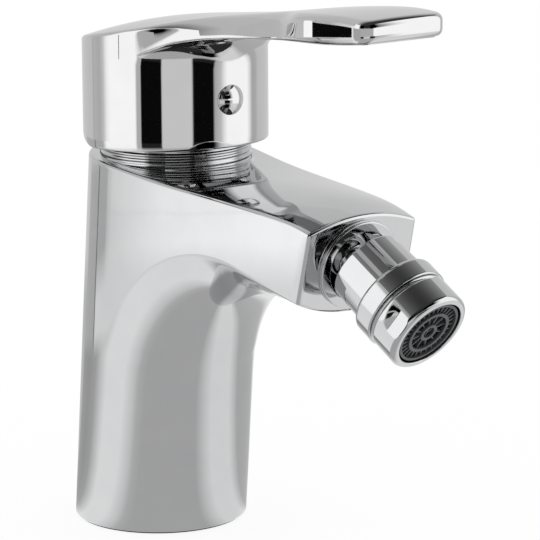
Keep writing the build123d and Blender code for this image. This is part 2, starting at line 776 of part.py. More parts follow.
def ball_stud():
    """Hollow ball on its stem, screwed into the seat ring."""
    tail_start = -dish_floor() - ball_tail_length + seal_gap
    solid = Sphere(ball_radius) + cylinder(ball_neck_radius, tail_start, 0)
    solid -= cylinder(ball_bore_radius, tail_start - overrun, ball_radius + overrun)
    return seat_plane() * solid


def seat_washer():
    """Flat rubber washer at the bottom of the spout's seat."""
    back = -ball_ahead - seat_depth
    outer = seat_thread_radius - seat_gap
    return seat_plane() * tube(outer, outer - seat_washer_wall, back, back + seat_washer_height)


def ball_seal():
    """Zone of a hollow ball that bears on the ball stud, in front of its middle."""
    shell = Sphere(ball_seal_outer_radius) - Sphere(ball_radius + running_gap)
    cone_start = ball_seal_outer_radius * cos(radians(ball_seal_end))
    cone_end = ball_seal_outer_radius * cos(radians(ball_seal_start))
    return seat_plane() * (shell & cylinder(2 * ball_radius, cone_start, cone_end))


# Ball-jointed outlet, moving side

def swivel_cup():
    """Chromed cup that holds the ball from behind and screws on the collar."""
    outside = lathe(
        (0, -cup_back),
        (cup_back_radius, -cup_back),
        (cup_front_radius, collar_start),
        (0, collar_start),
    )
    solid = outside - Sphere(ball_radius + running_gap)
    solid -= cylinder(cup_mouth_radius, -cup_back - overrun, 0)
    solid -= cylinder(cup_thread_radius, 0, collar_start + overrun)
    return outlet_plane() * solid


def swivel_collar():
    """Chromed collar with the nose that holds the seal and the spigot for the aerator."""
    nose = cup_thread_radius - seal_gap
    outside = lathe(
        (0, collar_nose_start),
        (nose, collar_nose_start),
        (nose, collar_start),
        (collar_radius - collar_bevel, collar_start),
        (collar_radius, collar_start + collar_bevel),
        (collar_radius, collar_end - collar_bevel / 2),
        (collar_radius - collar_bevel / 2, collar_end),
        (groove_radius, collar_end),
        (groove_radius, groove_end),
        (spigot_radius, groove_end),
        (spigot_radius, spigot_end),
        (0, spigot_end),
    )
    solid = outside - Sphere(ball_seal_outer_radius + seat_gap)
    solid -= cylinder(collar_bore_radius, 0, spigot_end + overrun)
    return outlet_plane() * solid


def aerator_housing():
    """Chromed aerator housing with its inward lip."""
    solid = cylinder(aerator_radius, groove_end, aerator_end)
    rim = solid.edges().group_by(Axis.Z)[-1]
    solid = fillet(rim, aerator_edge_radius)
    solid -= cylinder(spigot_radius + seal_gap, groove_end - overrun, aerator_end - aerator_lip)
    solid -= cylinder(aerator_mouth_radius, groove_end, aerator_end + overrun)
    flat_z = ((groove_end + aerator_end) / 2, aerator_end - aerator_edge_radius)
    for side in (-1, 1):
        x_span = sorted((side * (aerator_radius - flat_depth), side * (aerator_radius + overrun)))
        solid -= block(x_span, (-flat_width / 2, flat_width / 2), flat_z)
    return outlet_plane() * solid


def aerator_gasket():
    """Rubber gasket between the spigot and the aerator's cartridge."""
    outer = spigot_radius - seal_gap
    return outlet_plane() * tube(outer, gasket_bore_radius, spigot_end, spigot_end + gasket_height)


def ribs(count, inner, outer, bottom, top):
    """Radial ribs between two rings."""
    made = []
    for number in range(count):
        rib = block((inner, outer), (-rib_width / 2, rib_width / 2), (bottom, top))
        made.append(Rot(0, 0, 360 * number / count) * rib)
    return made


def aerator_insert():
    """Dark plastic jet cartridge: flanged shell with a grid of rings and ribs at its face."""
    flange_bottom = spigot_end + gasket_height
    flange_top = aerator_end - aerator_lip
    face = aerator_end - insert_recess
    grid_back = face - grid_depth
    solid = tube(insert_flange_radius, insert_radius - 2 * grid_wall, flange_bottom,
                 flange_bottom + insert_flange_height)
    solid += tube(insert_radius, insert_radius - grid_wall, flange_bottom, face)
    solid += tube(insert_flange_radius, insert_radius - grid_wall, flange_top - insert_flange_height / 2, flange_top)
    solid += tube(grid_mid_radius, grid_mid_radius - grid_wall, grid_back, face)
    solid += tube(grid_hub_radius, grid_hub_radius - grid_wall, grid_back, face)
    overlap = grid_wall / 2
    bars = ribs(outer_ribs, grid_mid_radius - overlap, insert_radius - overlap, grid_back, face)
    bars += ribs(inner_ribs, grid_hub_radius - overlap, grid_mid_radius - overlap, grid_back, face)
    bars += ribs(hub_spokes, 0, grid_hub_radius - overlap, grid_back, face)
    return outlet_plane() * solid.fuse(*bars)


def aerator_screens():
    """Pair of woven screens inside the aerator's cartridge, as crossed-bar discs."""
    radius = insert_radius - grid_wall - seat_gap
    bottom = spigot_end + gasket_height + insert_flange_height + seat_gap
    screen = tube(radius, radius - 2 * screen_wire, bottom, bottom + screen_height)
    half_count = int((radius - 2 * screen_wire) / screen_pitch)
    bars = []
    for number in range(-half_count, half_count + 1):
        offset = number * screen_pitch
        reach = sqrt(radius ** 2 - offset ** 2) - screen_wire
        span = (offset - screen_wire / 2, offset + screen_wire / 2)
        bars.append(block(span, (-reach, reach), (bottom, bottom + screen_height)))
        bars.append(block((-reach, reach), span, (bottom, bottom + screen_height)))
    return outlet_plane() * screen.fuse(*bars)


pieces = {
    "body": body,
    "hose_block": hose_block,
    "base_seal": base_seal,
    "cartridge_nut": nut,
    "slide_washer": slide_washer,
    "cartridge_housing": housing,
    "housing_seal": housing_seal,
    "cartridge_base": cartridge_base,
    "port_seals": port_seals,
    "fixed_disc": fixed_disc,
    "moving_disc": moving_disc,
    "disc_carrier": disc_carrier,
    "spindle_guide": spindle_guide,
    "pivot_pin": pivot_pin,
    "spindle": spindle,
    "lever": lever,
    "lever_bush": lever_bush,
    "set_screw": set_screw,
    "index_plug": index_plug,
    "swivel_adapter": adapter,
    "ball_stud": ball_stud,
    "seat_washer": seat_washer,
    "ball_seal": ball_seal,
    "swivel_cup": swivel_cup,
    "swivel_collar": swivel_collar,
    "aerator_housing": aerator_housing,
    "aerator_gasket": aerator_gasket,
    "aerator_insert": aerator_insert,
    "aerator_screen": aerator_screens,
}

os.makedirs("parts", exist_ok=True)
for name, make in pieces.items():
    export_step(make(), f"parts/{name}.step")
print("disc travel over the lift, mm:", round(disc_travel, 3))
print("ball centre:", round(ball_x, 3), round(ball_z, 3), "outlet axis:", outlet_plane().z_dir)
print("outlet tilt axis:", outlet_plane().x_dir)
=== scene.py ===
import json
from math import asin, atan2, cos, hypot, pi, radians, sin, sqrt, tan

import bmesh
import bpy
import numpy as np
from mathutils import Matrix, Vector


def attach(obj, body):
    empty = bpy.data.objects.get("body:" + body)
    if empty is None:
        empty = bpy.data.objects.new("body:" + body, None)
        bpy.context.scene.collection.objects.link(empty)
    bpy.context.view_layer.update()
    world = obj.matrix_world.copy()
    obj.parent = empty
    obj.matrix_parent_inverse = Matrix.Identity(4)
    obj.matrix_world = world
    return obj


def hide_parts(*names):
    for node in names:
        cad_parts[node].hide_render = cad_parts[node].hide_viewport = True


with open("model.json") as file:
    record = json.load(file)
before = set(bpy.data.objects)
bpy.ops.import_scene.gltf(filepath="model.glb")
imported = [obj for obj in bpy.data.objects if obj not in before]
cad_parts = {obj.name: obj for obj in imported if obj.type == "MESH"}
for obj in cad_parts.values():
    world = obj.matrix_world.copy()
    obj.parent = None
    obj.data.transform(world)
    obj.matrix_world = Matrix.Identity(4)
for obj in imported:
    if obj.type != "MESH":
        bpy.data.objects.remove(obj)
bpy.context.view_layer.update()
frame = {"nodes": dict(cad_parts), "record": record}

# Bidet mixer. Sizes are in millimetres here and turned to metres where a mesh is made.
# The origin is the centre of the foot on the deck, +X is the front, +Z is up.

MM = 0.001
merge_gap, sliver = 0.003, 0.001    # points nearer than the first are one, edges under the second go


# Curves and patches

def curve_through(xs, ys, first=None, last=None):
    """Smooth curve through places; the slope at either end can be given."""
    xs, ys = np.array(xs, float), np.array(ys, float)
    count = len(xs)
    gap = np.diff(xs)
    slope = np.diff(ys) / gap
    rows = np.zeros((count, count))
    right = np.zeros(count)
    for i in range(1, count - 1):
        rows[i, i - 1:i + 2] = gap[i], 2 * (gap[i - 1] + gap[i]), gap[i - 1]
        right[i] = 3 * (gap[i] * slope[i - 1] + gap[i - 1] * slope[i])
    if first is None:
        rows[0, :2], right[0] = (2, 1), 3 * slope[0]
    else:
        rows[0, 0], right[0] = 1, first
    if last is None:
        rows[-1, -2:], right[-1] = (1, 2), 3 * slope[-1]
    else:
        rows[-1, -1], right[-1] = 1, last
    bend = np.linalg.solve(rows, right)

    def at(x):
        i = int(np.clip(np.searchsorted(xs, x) - 1, 0, count - 2))
        h, u = gap[i], (x - xs[i]) / gap[i]
        if u < 0:
            return ys[0] + bend[0] * (x - xs[0])
        if u > 1:
            return ys[-1] + bend[-1] * (x - xs[-1])
        return float(
            ys[i] * (1 + 2 * u) * (1 - u) ** 2 + ys[i + 1] * u * u * (3 - 2 * u)
            + h * bend[i] * u * (1 - u) ** 2 + h * bend[i + 1] * u * u * (u - 1)
        )

    return at


def ease(u):
    """0 to 1 with a soft start and end."""
    u = min(max(u, 0), 1)
    return u * u * (3 - 2 * u)


def point(x, y, z):
    """Place or direction, as an array."""
    return np.array((x, y, z), float)


def rounding(corner, start, end, steps):
    """Quarter arc from start to end that leaves both along the lines to the corner."""
    made = []
    for i in range(steps + 1):
        turn = pi / 2 * i / steps
        made.append(corner + (start - corner) * (1 - sin(turn)) + (end - corner) * (1 - cos(turn)))
    return made


def between(start, end, steps):
    """Places at even steps on a straight line."""
    return [start + (end - start) * i / steps for i in range(steps + 1)]


class Shell:
    """Points and faces of one closed skin, patch by patch."""

    def __init__(self):
        self.points, self.faces = [], []

    def grid(self, rows, closed=False):
        base, width = len(self.points), len(rows[0])
        for row in rows:
            self.points += [tuple(p) for p in row]
        for i in range(len(rows) - 1):
            for j in range(width if closed else width - 1):
                k = (j + 1) % width
                a, b = base + i * width, base + (i + 1) * width
                self.faces.append((a + j, a + k, b + k, b + j))

    def fan(self, centre, loop, closed=True):
        base = len(self.points)
        self.points += [tuple(centre)] + [tuple(p) for p in loop]
        for j in range(len(loop) if closed else len(loop) - 1):
            self.faces.append((base, base + 1 + j, base + 1 + (j + 1) % len(loop)))

    def lathe(self, outline, segments=96):
        """Outline of (radius, height) turned about the local Z axis; ends on the axis are closed."""
        rows = []
        for radius, height in outline:
            rows.append([
                (radius * cos(2 * pi * j / segments), radius * sin(2 * pi * j / segments), height)
                for j in range(segments)
            ])
        self.grid(rows, closed=True)

    def mesh(self, name, place=None):
        """Plain mesh in metres, doubles merged and faces turned outwards."""
        mesh = bpy.data.meshes.new(name)
        moved = [place @ Vector(p) if place else Vector(p) for p in self.points]
        mesh.from_pydata([p * MM for p in moved], [], self.faces)
        work = bmesh.new()
        work.from_mesh(mesh)
        bmesh.ops.remove_doubles(work, verts=work.verts, dist=merge_gap * MM)
        bmesh.ops.dissolve_degenerate(work, edges=work.edges, dist=sliver * MM)
        bmesh.ops.recalc_face_normals(work, faces=work.faces)
        work.to_mesh(mesh)
        work.free()
        mesh.shade_smooth()
        return mesh


def soft_outline(corners, support=0.12):
    """Outline of (radius, height, rounding) with each corner rounded, and a thin strip kept beside it."""
    made = []
    count = len(corners)
    for i, (radius, height, size) in enumerate(corners):
        here = np.array((radius, height))
        if size <= 0 or i in (0, count - 1):
            made.append(here)
            continue
        before = np.array(corners[i - 1][:2]) - here
        after = np.array(corners[i + 1][:2]) - here
        before, after = before / hypot(*before), after / hypot(*after)
        made.append(here + before * (size + support))
        made += rounding(here, here + before * size, here + after * size, 5)
        made.append(here + after * (size + support))
    return [tuple(p) for p in made]


def piece(name, mesh, material, body, slot, *nodes):
    """Object for a mesh, riding on its CAD body in place of its CAD nodes."""
    made = bpy.data.objects.new(name, mesh)
    bpy.context.scene.collection.objects.link(made)
    mesh.materials.clear()
    mesh.materials.append(material)
    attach(made, body)
    if nodes:
        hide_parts(*nodes)
    return made


# Materials

def linear(code):
    """sRGB hex colour as linear RGBA."""
    parts = [int(code[i:i + 2], 16) / 255 for i in (1, 3, 5)]
    return (*[c / 12.92 if c <= 0.04045 else ((c + 0.055) / 1.055) ** 2.4 for c in parts], 1.0)


def add(tree, kind, inputs=None, **settings):
    """One node with its settings, values and links."""
    made = tree.nodes.new(kind)
    for key, value in settings.items():
        setattr(made, key, value)
    for socket, value in (inputs or {}).items():
        if isinstance(value, bpy.types.NodeSocket):
            tree.links.new(value, made.inputs[socket])
        else:
            made.inputs[socket].default_value = value
    return made


def bare_material(name):
    """New material with an empty node tree, and the tree."""
    made = bpy.data.materials.new(name)
    made.use_nodes = True
    made.node_tree.nodes.clear()
    return made, made.node_tree


def close_material(tree, colour, roughness, normal, metallic):
    shader = add(tree, "ShaderNodeBsdfPrincipled", {"Base Color": colour, "Roughness": roughness,
                                                   "Normal": normal, "Metallic": metallic})
    add(tree, "ShaderNodeOutputMaterial", {"Surface": shader.outputs["BSDF"]})


def speckle(tree, size_mm, detail=2.0, rough=0.5):
    """Noise on the piece's own coordinates with grains of a real size."""
    place = add(tree, "ShaderNodeTexCoord")
    return add(tree, "ShaderNodeTexNoise", {"Vector": place.outputs["Object"], "Scale": 1 / (size_mm * MM),
                                            "Detail": detail, "Roughness": rough})


def uneven(tree, cloud, dark, light, wear, low, high):
    """Colour that drifts between two shades with one noise, and roughness that drifts with another."""
    colour = add(tree, "ShaderNodeMix", {"Factor": cloud.outputs["Fac"], "A": linear(dark),
                                         "B": linear(light)}, data_type="RGBA")
    worn = add(tree, "ShaderNodeMapRange", {"Value": wear.outputs["Fac"], "From Min": 0.3, "From Max": 0.7,
                                            "To Min": low, "To Max": high})
    return colour.outputs["Result"], worn.outputs["Result"]


def plated(name, dark, light, low, high, peel_mm=6.0, peel=0.004):
    """Electroplated chrome over a buffed part: cool mirror, faint orange peel, a little polishing haze."""
    haze_mm, wipe_mm, peel_strength = 9.0, 2.5, 0.35
    made, tree = bare_material(name)
    haze, wipe = speckle(tree, haze_mm, 3.0), speckle(tree, wipe_mm, 4.0, 0.6)
    colour, roughness = uneven(tree, haze, dark, light, wipe, low, high)
    wave = speckle(tree, peel_mm, 1.0)
    bump = add(tree, "ShaderNodeBump", {"Height": wave.outputs["Fac"], "Strength": peel_strength,
                                        "Distance": peel * MM})
    close_material(tree, colour, roughness, bump.outputs["Normal"], 1.0)
    return made


def moulded(name, dark, light, roughness, grain_mm, depth_mm, metallic=0.0):
    """Moulded, turned or ground stock with a fine grain: soft shine, slightly uneven colour."""
    cloud_mm, wear, grain_strength = 12 * grain_mm, 0.15, 0.3
    made, tree = bare_material(name)
    grain, cloud = speckle(tree, grain_mm, 4.0), speckle(tree, cloud_mm, 2.0)
    colour, worn = uneven(tree, cloud, dark, light, grain, roughness * (1 - wear), roughness * (1 + wear))
    bump = add(tree, "ShaderNodeBump", {"Height": grain.outputs["Fac"], "Strength": grain_strength,
                                        "Distance": depth_mm * MM})
    close_material(tree, colour, worn, bump.outputs["Normal"], metallic)
    return made


# Chrome plated on cast brass, buffed by hand: a cool mirror that softens the edges of what it shows.
body_chrome = plated("plated_brass_body", "#c9cacb", "#d2d2d3", 0.03, 0.055)
# Chrome plated on die-cast zinc, smooth from the die: the clearest mirror here, with hard dark bars.
lever_chrome = plated("plated_zinc_lever", "#cccccd", "#d4d4d5", 0.015, 0.03)
# Chrome plated on turned brass: bright and dark bands along each ring, with a trace of haze.
swivel_chrome = plated("plated_brass_swivel", "#c6c7c8", "#d0d0d1", 0.025, 0.05)
# Chrome plated on a cut thread: bright crests and softer grooves, which no buff reaches.
thread_chrome = plated("plated_thread", "#c2c3c4", "#cccccd", 0.03, 0.06, 3.0, 0.002)
# Turned brass, left bare inside: warm yellow with a satin sheen.
bare_brass = moulded("turned_brass", "#b08d4c", "#bd9a58", 0.28, 0.6, 0.004, 1.0)
# Drawn stainless steel of the pin, the screw and the screen: grey and satin.
bright_steel = moulded("drawn_stainless_steel", "#9c9da0", "#a8a9ab", 0.25, 0.4, 0.003, 1.0)
# Moulded nitrile rubber of the seals: nearly black and matt, with a fine grain from the mould.
black_rubber = moulded("moulded_nitrile_rubber", "#141414", "#1c1c1c", 0.62, 0.5, 0.01)
# Moulded acetal in its natural colour: milky white with a soft shine.
white_plastic = moulded("moulded_acetal_white", "#dcdbd3", "#e4e3dc", 0.42, 0.8, 0.008)
# Moulded acetal, tinted: mid grey with the same soft shine.
grey_plastic = moulded("moulded_acetal_grey", "#5a5c5f", "#64666a", 0.45, 0.8, 0.008)
# Moulded jet grid: dark grey, so that only its thin ribs catch the light.
jet_plastic = moulded("moulded_jet_grid_plastic", "#3a3b3d", "#48494b", 0.38, 0.5, 0.006)
# Alumina, fired and ground flat: off-white, dense, with a dull gleam.
ceramic = moulded("ground_alumina", "#e6e3d9", "#eeebe3", 0.2, 0.3, 0.002)


# Body casting

column_radius = 24.8
lean = tan(radians(5.17))
taper = radians(4.84)
face_slope = tan(radians(14.0))
sweep_radius = 37.5
sweep_start_z = 41.5
start_turn = radians(5.17)
sweep_centre = point(lean * sweep_start_z + column_radius + sweep_radius * cos(start_turn), 0,
                     sweep_start_z - sweep_radius * sin(start_turn))
face_top = (94.1, 99.1)
face_bottom_z, face_middle_x = 75.4, 89.0
mid_belly, end_belly, sweep_bulge = 9.2, 2.0, 1.5
flare_x, flare_run, end_flare = 40.0, 50.0, 0.55
rear_crown, front_crown, end_crown, end_crown_run = 0.5, 2.3, 0.8, 40.0
underside_rise = face_bottom_z - (sweep_centre[2] + sweep_radius)
past_face = 5.0                # the level part of the underside is worked out to here past the end face
run_length = face_top[0] + past_face - sweep_centre[0]
touch_turn = pi / 2 - taper
nut_x = 9.5
foot_height, foot_round = 1.2, 0.8
groove_outer, groove_inner, groove_depth = 23.8, 21.9, 1.8
hollow_mouth, hollow_radius, hollow_top = 20.85, 20.8, 69.0
mouth_radius, mouth_edge, mouth_drop = 21.6, 21.45, 0.15
socket_radius, socket_top, socket_floor = 20.2, 102.0, 84.0
top_middle_z, rear_top_z = 105.0, 107.5
settle_steps = 8               # enough for a place on two surfaces to settle

top_line = curve_through((-24.8, 9.68, 30.5, 52.0, 72.0, 86.0, 94.1),
                         (108.0, 106.9, 104.9, 103.6, 102.5, 100.95, 99.1))


def half_width(x, z):
    """Half width of the spout, with a slight flare to its end."""
    flare = end_flare * ease((x - flare_x) / flare_run)
    return (column_radius - (x - lean * z) * sin(taper)) / cos(taper) + flare


def top_height(x, y):
    """Crowned top face of the spout."""
    crown = rear_crown + front_crown * (x + column_radius) / (face_top[0] + column_radius)
    crown += end_crown * ease((x - flare_x) / end_crown_run)
    half = half_width(max(x, nut_x), top_middle_z)
    return top_line(x) + crown * (1 - (y / half) ** 2)


def face_x(z):
    """Tilted end face."""
    return face_top[0] - (face_top[1] - z) * face_slope


def column_point(turn, z, radius=column_radius):
    """Place on the leaning column."""
    return point(lean * z + radius * cos(turn), radius * sin(turn), z)


def sweep_edge(share):
    """Direction, belly and crease of a section across the sweep."""
    turn = start_turn + (pi / 2 - start_turn) * share
    away = point(-cos(turn), 0, sin(turn))
    belly = column_radius + (mid_belly - column_radius) * share + sweep_bulge * sin(pi * share)
    return away, belly, sweep_centre + away * (sweep_radius + belly)


def crease_leaving():
    """How far round the sweep its edge leaves the column's side."""
    low, high, halvings = 0.0, 0.3, 30
    for _ in range(halvings):
        share = (low + high) / 2
        crease = sweep_edge(share)[2]
        if crease[0] < lean * crease[2] + column_radius * sin(taper):
            low = share
        else:
            high = share
    return share


crease_share = crease_leaving()
crease_low_z, crease_high_z = sweep_edge(0)[2][2], sweep_edge(crease_share)[2][2]


def sweep_station(share):
    """Middle, crease and half turn of a section across the sweep."""
    away, belly, crease = sweep_edge(share)
    middle = sweep_centre + away * sweep_radius
    if share <= crease_share:
        z = crease_low_z + (crease_high_z - crease_low_z) * share / crease_share
        crease = point(lean * z + column_radius * sin(taper), 0, z)
        return middle, crease, column_radius * cos(taper), touch_turn
    half = half_width(crease[0], crease[2])
    return middle, crease, half, half_turn(half, belly)


def half_turn(half, belly):
    """Half angle of an arc with a given half width and depth."""
    return asin(min(1.0, 2 * half * belly / (half ** 2 + belly ** 2)))


def run_station(x):
    """The same along the level part of the underside."""
    share = (x - sweep_centre[0]) / run_length
    middle = point(x, 0, sweep_centre[2] + sweep_radius + underside_rise * share)
    belly = mid_belly + (end_belly - mid_belly) * share
    crease = middle + point(0, 0, belly)
    half = half_width(x, crease[2])
    return middle, crease, half, half_turn(half, belly)


def section_point(station, turn):
    """Place on a section at an angle round its arc."""
    middle, crease, half, widest = station
    share = (1 - cos(turn)) / (1 - cos(widest))
    return middle + (crease - middle) * share + point(0, half * sin(turn) / sin(widest), 0)


def under_point(x, y):
    """Place on the underside."""
    station = run_station(x)
    half, widest = station[2], station[3]
    return section_point(station, asin(max(-1, min(1, y / half * sin(widest)))))


def face_foot(y):
    """Lower edge of the end face."""
    x = face_middle_x
    for _ in range(settle_steps):
        x = face_x(under_point(x, y)[2])
    return under_point(x, y)


def face_head(y):
    """Upper edge of the end face."""
    x = face_top[0]
    for _ in range(settle_steps):
        x = face_x(top_height(x, y))
    return point(x, y, top_height(x, y))


def side_head(x):
    """Upper edge of the side face, +Y side."""
    z = top_line(x)
    for _ in range(settle_steps):
        y = half_width(x, z)
        z = top_height(x, y)
    return point(x, y, z)


def rear_head(turn):
    """Upper edge of the round rear."""
    z = rear_top_z
    for _ in range(settle_steps):
        p = column_point(turn, z)
        z = top_height(p[0], p[1])
    return column_point(turn, z)


def flip(p):
    """The same place on the other side of the mid plane."""
    return p * (1, -1, 1)


def body_mesh():
    """Column and spout in one skin, with the socket for the cartridge and the hollow foot."""
    across = 44
    corner_size, rim, edge = 0.9, 0.8, 0.8
    corner_steps, edge_steps, lead_steps = 4, 4, 4
    skin = Shell()
    # stations along the underside
    column_rows = []
    rise_rows = 16
    for i in range(rise_rows + 1):
        mid_z = foot_height + (sweep_start_z - foot_height) * i / rise_rows
        edge_z = foot_height + (crease_low_z - foot_height) * i / rise_rows
        row = []
        for j in range(across + 1):
            turn = touch_turn * (2 * j / across - 1)
            share = (1 - cos(turn)) / (1 - cos(touch_turn))
            row.append(column_point(turn, mid_z + (edge_z - mid_z) * share))
        column_rows.append(row)
    stations = [sweep_station(crease_share * i / lead_steps) for i in range(1, lead_steps + 1)]
    sweep_steps, run_steps = 30, 9
    stations += [sweep_station(crease_share + (1 - crease_share) * i / sweep_steps)
                 for i in range(1, sweep_steps + 1)]
    # foot corner of the end face
    x = face_middle_x
    for _ in range(settle_steps):
        x = face_x(run_station(x)[1][2])
    foot_station = run_station(x)
    foot_corner = foot_station[1] + point(0, foot_station[2], 0)
    last_x = foot_corner[0] - corner_size
    stations += [run_station(sweep_centre[0] + (last_x - sweep_centre[0]) * i / run_steps)
                 for i in range(1, run_steps + 1)]
    side = stations[lead_steps - 1:]
    count = len(side)
    # side lines, +Y side, from the touch line to the corner
    creases = [s[1] + point(0, s[2], 0) for s in side]
    lengths = np.cumsum([0] + [np.linalg.norm(b - a) for a, b in zip(creases, creases[1:])])
    head_corner = face_top[0]
    for _ in range(settle_steps):
        head_corner = face_x(side_head(head_corner)[2])
    head_corner = side_head(head_corner)
    first_x = rear_head(touch_turn)[0]
    heads = []
    for k in range(count):
        x = first_x + (head_corner[0] - corner_size - first_x) * lengths[k] / lengths[-1]
        heads.append(rear_head(touch_turn) if k == 0 else side_head(x))
    face_y = [2 * j / across - 1 for j in range(across + 1)]
    front_heads = [face_head((head_corner[1] - corner_size) * t) for t in face_y]
    front_feet = [face_foot((foot_corner[1] - corner_size) * t) for t in face_y]
    head_arc = rounding(head_corner, heads[-1], front_heads[-1], corner_steps)[1:-1]
    foot_arc = rounding(foot_corner, creases[-1], front_feet[-1], corner_steps)[1:-1]
    # loop: rear from +Y round to -Y, side -Y, corner, front from -Y to +Y, corner, side +Y back
    rear_steps, soften_steps = 90, 10
    rear_turns = [touch_turn + (2 * pi - 2 * touch_turn) * i / rear_steps for i in range(rear_steps + 1)]
    inward_side = point(-sin(taper), -cos(taper), 0)
    loop = []

    def line(head, foot, inward, size, under):
        """One line down the wall, with its rounded head and foot."""
        down = (foot - head) / np.linalg.norm(foot - head)
        top_in = head + inward * rim
        top_in[2] = top_height(top_in[0], top_in[1])
        crest = rounding(head, top_in, head + down * rim, edge_steps)
        low = foot - down * size
        hem = rounding(foot, low, under, edge_steps)
        loop.append((top_in, crest, low, hem, under))

    def side_under(k):
        """Place beside the crease on the underside, the rounding's size and the half turn left there."""
        size = edge * ease(k / soften_steps)
        station = side[k]
        around = station[3] * station[2] / sin(station[3])
        left = station[3] * (1 - size / around)
        return section_point(station, left), size, left

    for turn in rear_turns[:-1]:
        head = rear_head(turn)
        z = side[0][1][2]
        foot = column_point(turn, z)
        line(head, foot, point(-cos(turn), -sin(turn), 0), 0.0, foot)
    sides = []
    for k in range(count):
        under, size, _ = side_under(k)
        sides.append((heads[k], creases[k], inward_side, size, under))
    front_under = [under_point(p[0] - edge, p[1]) for p in front_feet]
    start_off, end_off = sides[-1][4] - creases[-1], front_under[-1] - front_feet[-1]
    corners = []
    for i, (head, foot) in enumerate(zip(head_arc, foot_arc)):
        share = (i + 1) / corner_steps
        inward = inward_side * (1 - share) + point(-1, 0, 0) * share
        inward /= np.linalg.norm(inward)
        corners.append((head, foot, inward, edge, foot + start_off * (1 - share) + end_off * share))
    for head, foot, inward, size, under in sides + corners:
        line(flip(head), flip(foot), flip(inward), size, flip(under))
    for j in range(across + 1):
        line(front_heads[j], front_feet[j], point(-1, 0, 0), edge, front_under[j])
    for head, foot, inward, size, under in corners[::-1] + sides[::-1]:
        line(head, foot, inward, size, under)
    # walls
    wall_steps, support = 12, 0.06
    rows = list(zip(*[entry[1] for entry in loop]))
    skin.grid(rows, closed=True)
    walls = []
    for entry in loop:
        wall = between(entry[1][-1], entry[2], wall_steps)
        wall.insert(1, wall[0] + (wall[1] - wall[0]) * support)
        wall.insert(-1, wall[-1] + (wall[-2] - wall[-1]) * support)
        walls.append(wall)
    skin.grid(list(zip(*walls)), closed=True)
    folded = loop[rear_steps:]
    skin.grid(list(zip(*[entry[3] for entry in folded])))
    # round rear below the crease's start
    edge_levels = [row[0][2] for row in column_rows] + [s[1][2] for s in stations[:lead_steps]]
    skin.grid([[column_point(turn, z) for turn in rear_turns] for z in edge_levels])
    # front of the column, sweep and underside
    under_rows = [[section_point(s, s[3] * (2 * j / across - 1)) for j in range(across + 1)]
                  for s in stations[:lead_steps]]
    for k in range(1, count):
        left = side_under(k)[2]
        under_rows.append([section_point(side[k], left * (2 * j / across - 1)) for j in range(across + 1)])
    skin.grid(column_rows + under_rows)
    last = under_rows[-1]
    skin.grid([last[1:-1], front_under[1:-1]])
    for sign in (-1, 1):
        turned = (lambda p: p) if sign > 0 else flip
        ends = [turned(entry[4]) for entry in [sides[-1]] + corners] + [turned(front_under[-1])]
        inner_last = last[-2] if sign > 0 else last[1]
        inner_front = front_under[-2] if sign > 0 else front_under[1]
        skin.fan(inner_last, ends + [inner_front], closed=False)
    # top face
    top = [entry[0] for entry in loop]
    minus = top[rear_steps:rear_steps + count]
    plus = top[-count:][::-1]
    ring_reach = 25.0              # the rings round the mouth reach this far forward
    split = next(k for k in range(count) if minus[k][0] > nut_x + ring_reach)
    rows = []
    for k in range(split, count):
        row = []
        for j in range(across + 1):
            p = minus[k] + (plus[k] - minus[k]) * j / across
            p[2] = top_height(p[0], p[1])
            row.append(p)
        rows.append(row)
    front_top = top[rear_steps + count + len(corners):][:across + 1]
    skin.grid(rows)
    skin.grid([rows[-1][1:-1], front_top[1:-1]])
    minus_corner = top[rear_steps + count:][:len(corners)]
    plus_corner = top[-count - len(corners):-count][::-1]
    skin.fan(rows[-1][1], [minus[-1]] + minus_corner + front_top[:2], closed=False)
    skin.fan(rows[-1][-2], [plus[-1]] + plus_corner + front_top[:-3:-1], closed=False)
    outer = top[:rear_steps] + minus[:split] + rows[0] + plus[:split][::-1]
    rings = []
    ring_steps = 6
    for step in range(ring_steps + 1):
        ring = []
        for p in outer:
            turn = atan2(p[1], p[0] - nut_x)
            inner = point(nut_x + mouth_radius * cos(turn), mouth_radius * sin(turn), 0)
            q = p + (inner - p) * step / ring_steps
            q[2] = top_height(q[0], q[1])
            ring.append(q)
        rings.append(ring)
    mouth = rings[-1]
    for radius, z in ((mouth_edge, None), (mouth_edge, socket_top), (socket_radius, socket_top),
                      (socket_radius, socket_floor)):
        ring = []
        for p in mouth:
            turn = atan2(p[1], p[0] - nut_x)
            ring.append(point(nut_x + radius * cos(turn), radius * sin(turn), z or p[2] - mouth_drop))
        rings.append(ring)
    skin.grid(rings, closed=True)
    skin.fan(point(nut_x, 0, socket_floor), rings[-1])
    # foot and the hollow above it
    turns = [touch_turn * (2 * j / across - 1) for j in range(across)] + rear_turns[:-1]
    foot = [(column_radius, foot_height)]
    foot_steps, foot_share = 6, 0.9
    for i in range(foot_steps + 1):
        turn = pi / 2 * foot_share * i / foot_steps
        foot.append((column_radius - foot_round * (1 - cos(turn)), foot_height - foot_round * sin(turn)))
    foot += [(groove_outer, groove_depth), (groove_inner, groove_depth), (groove_inner, 0.0),
             (hollow_mouth, 0.0), (hollow_radius, 0.1), (hollow_radius, hollow_top)]
    levels = [[column_point(turn, z, radius) for turn in turns] for radius, z in foot]
    skin.grid(levels, closed=True)
    skin.fan(column_point(0, hollow_top, 0), levels[-1])
    return skin.mesh("body_casting")


# Lever

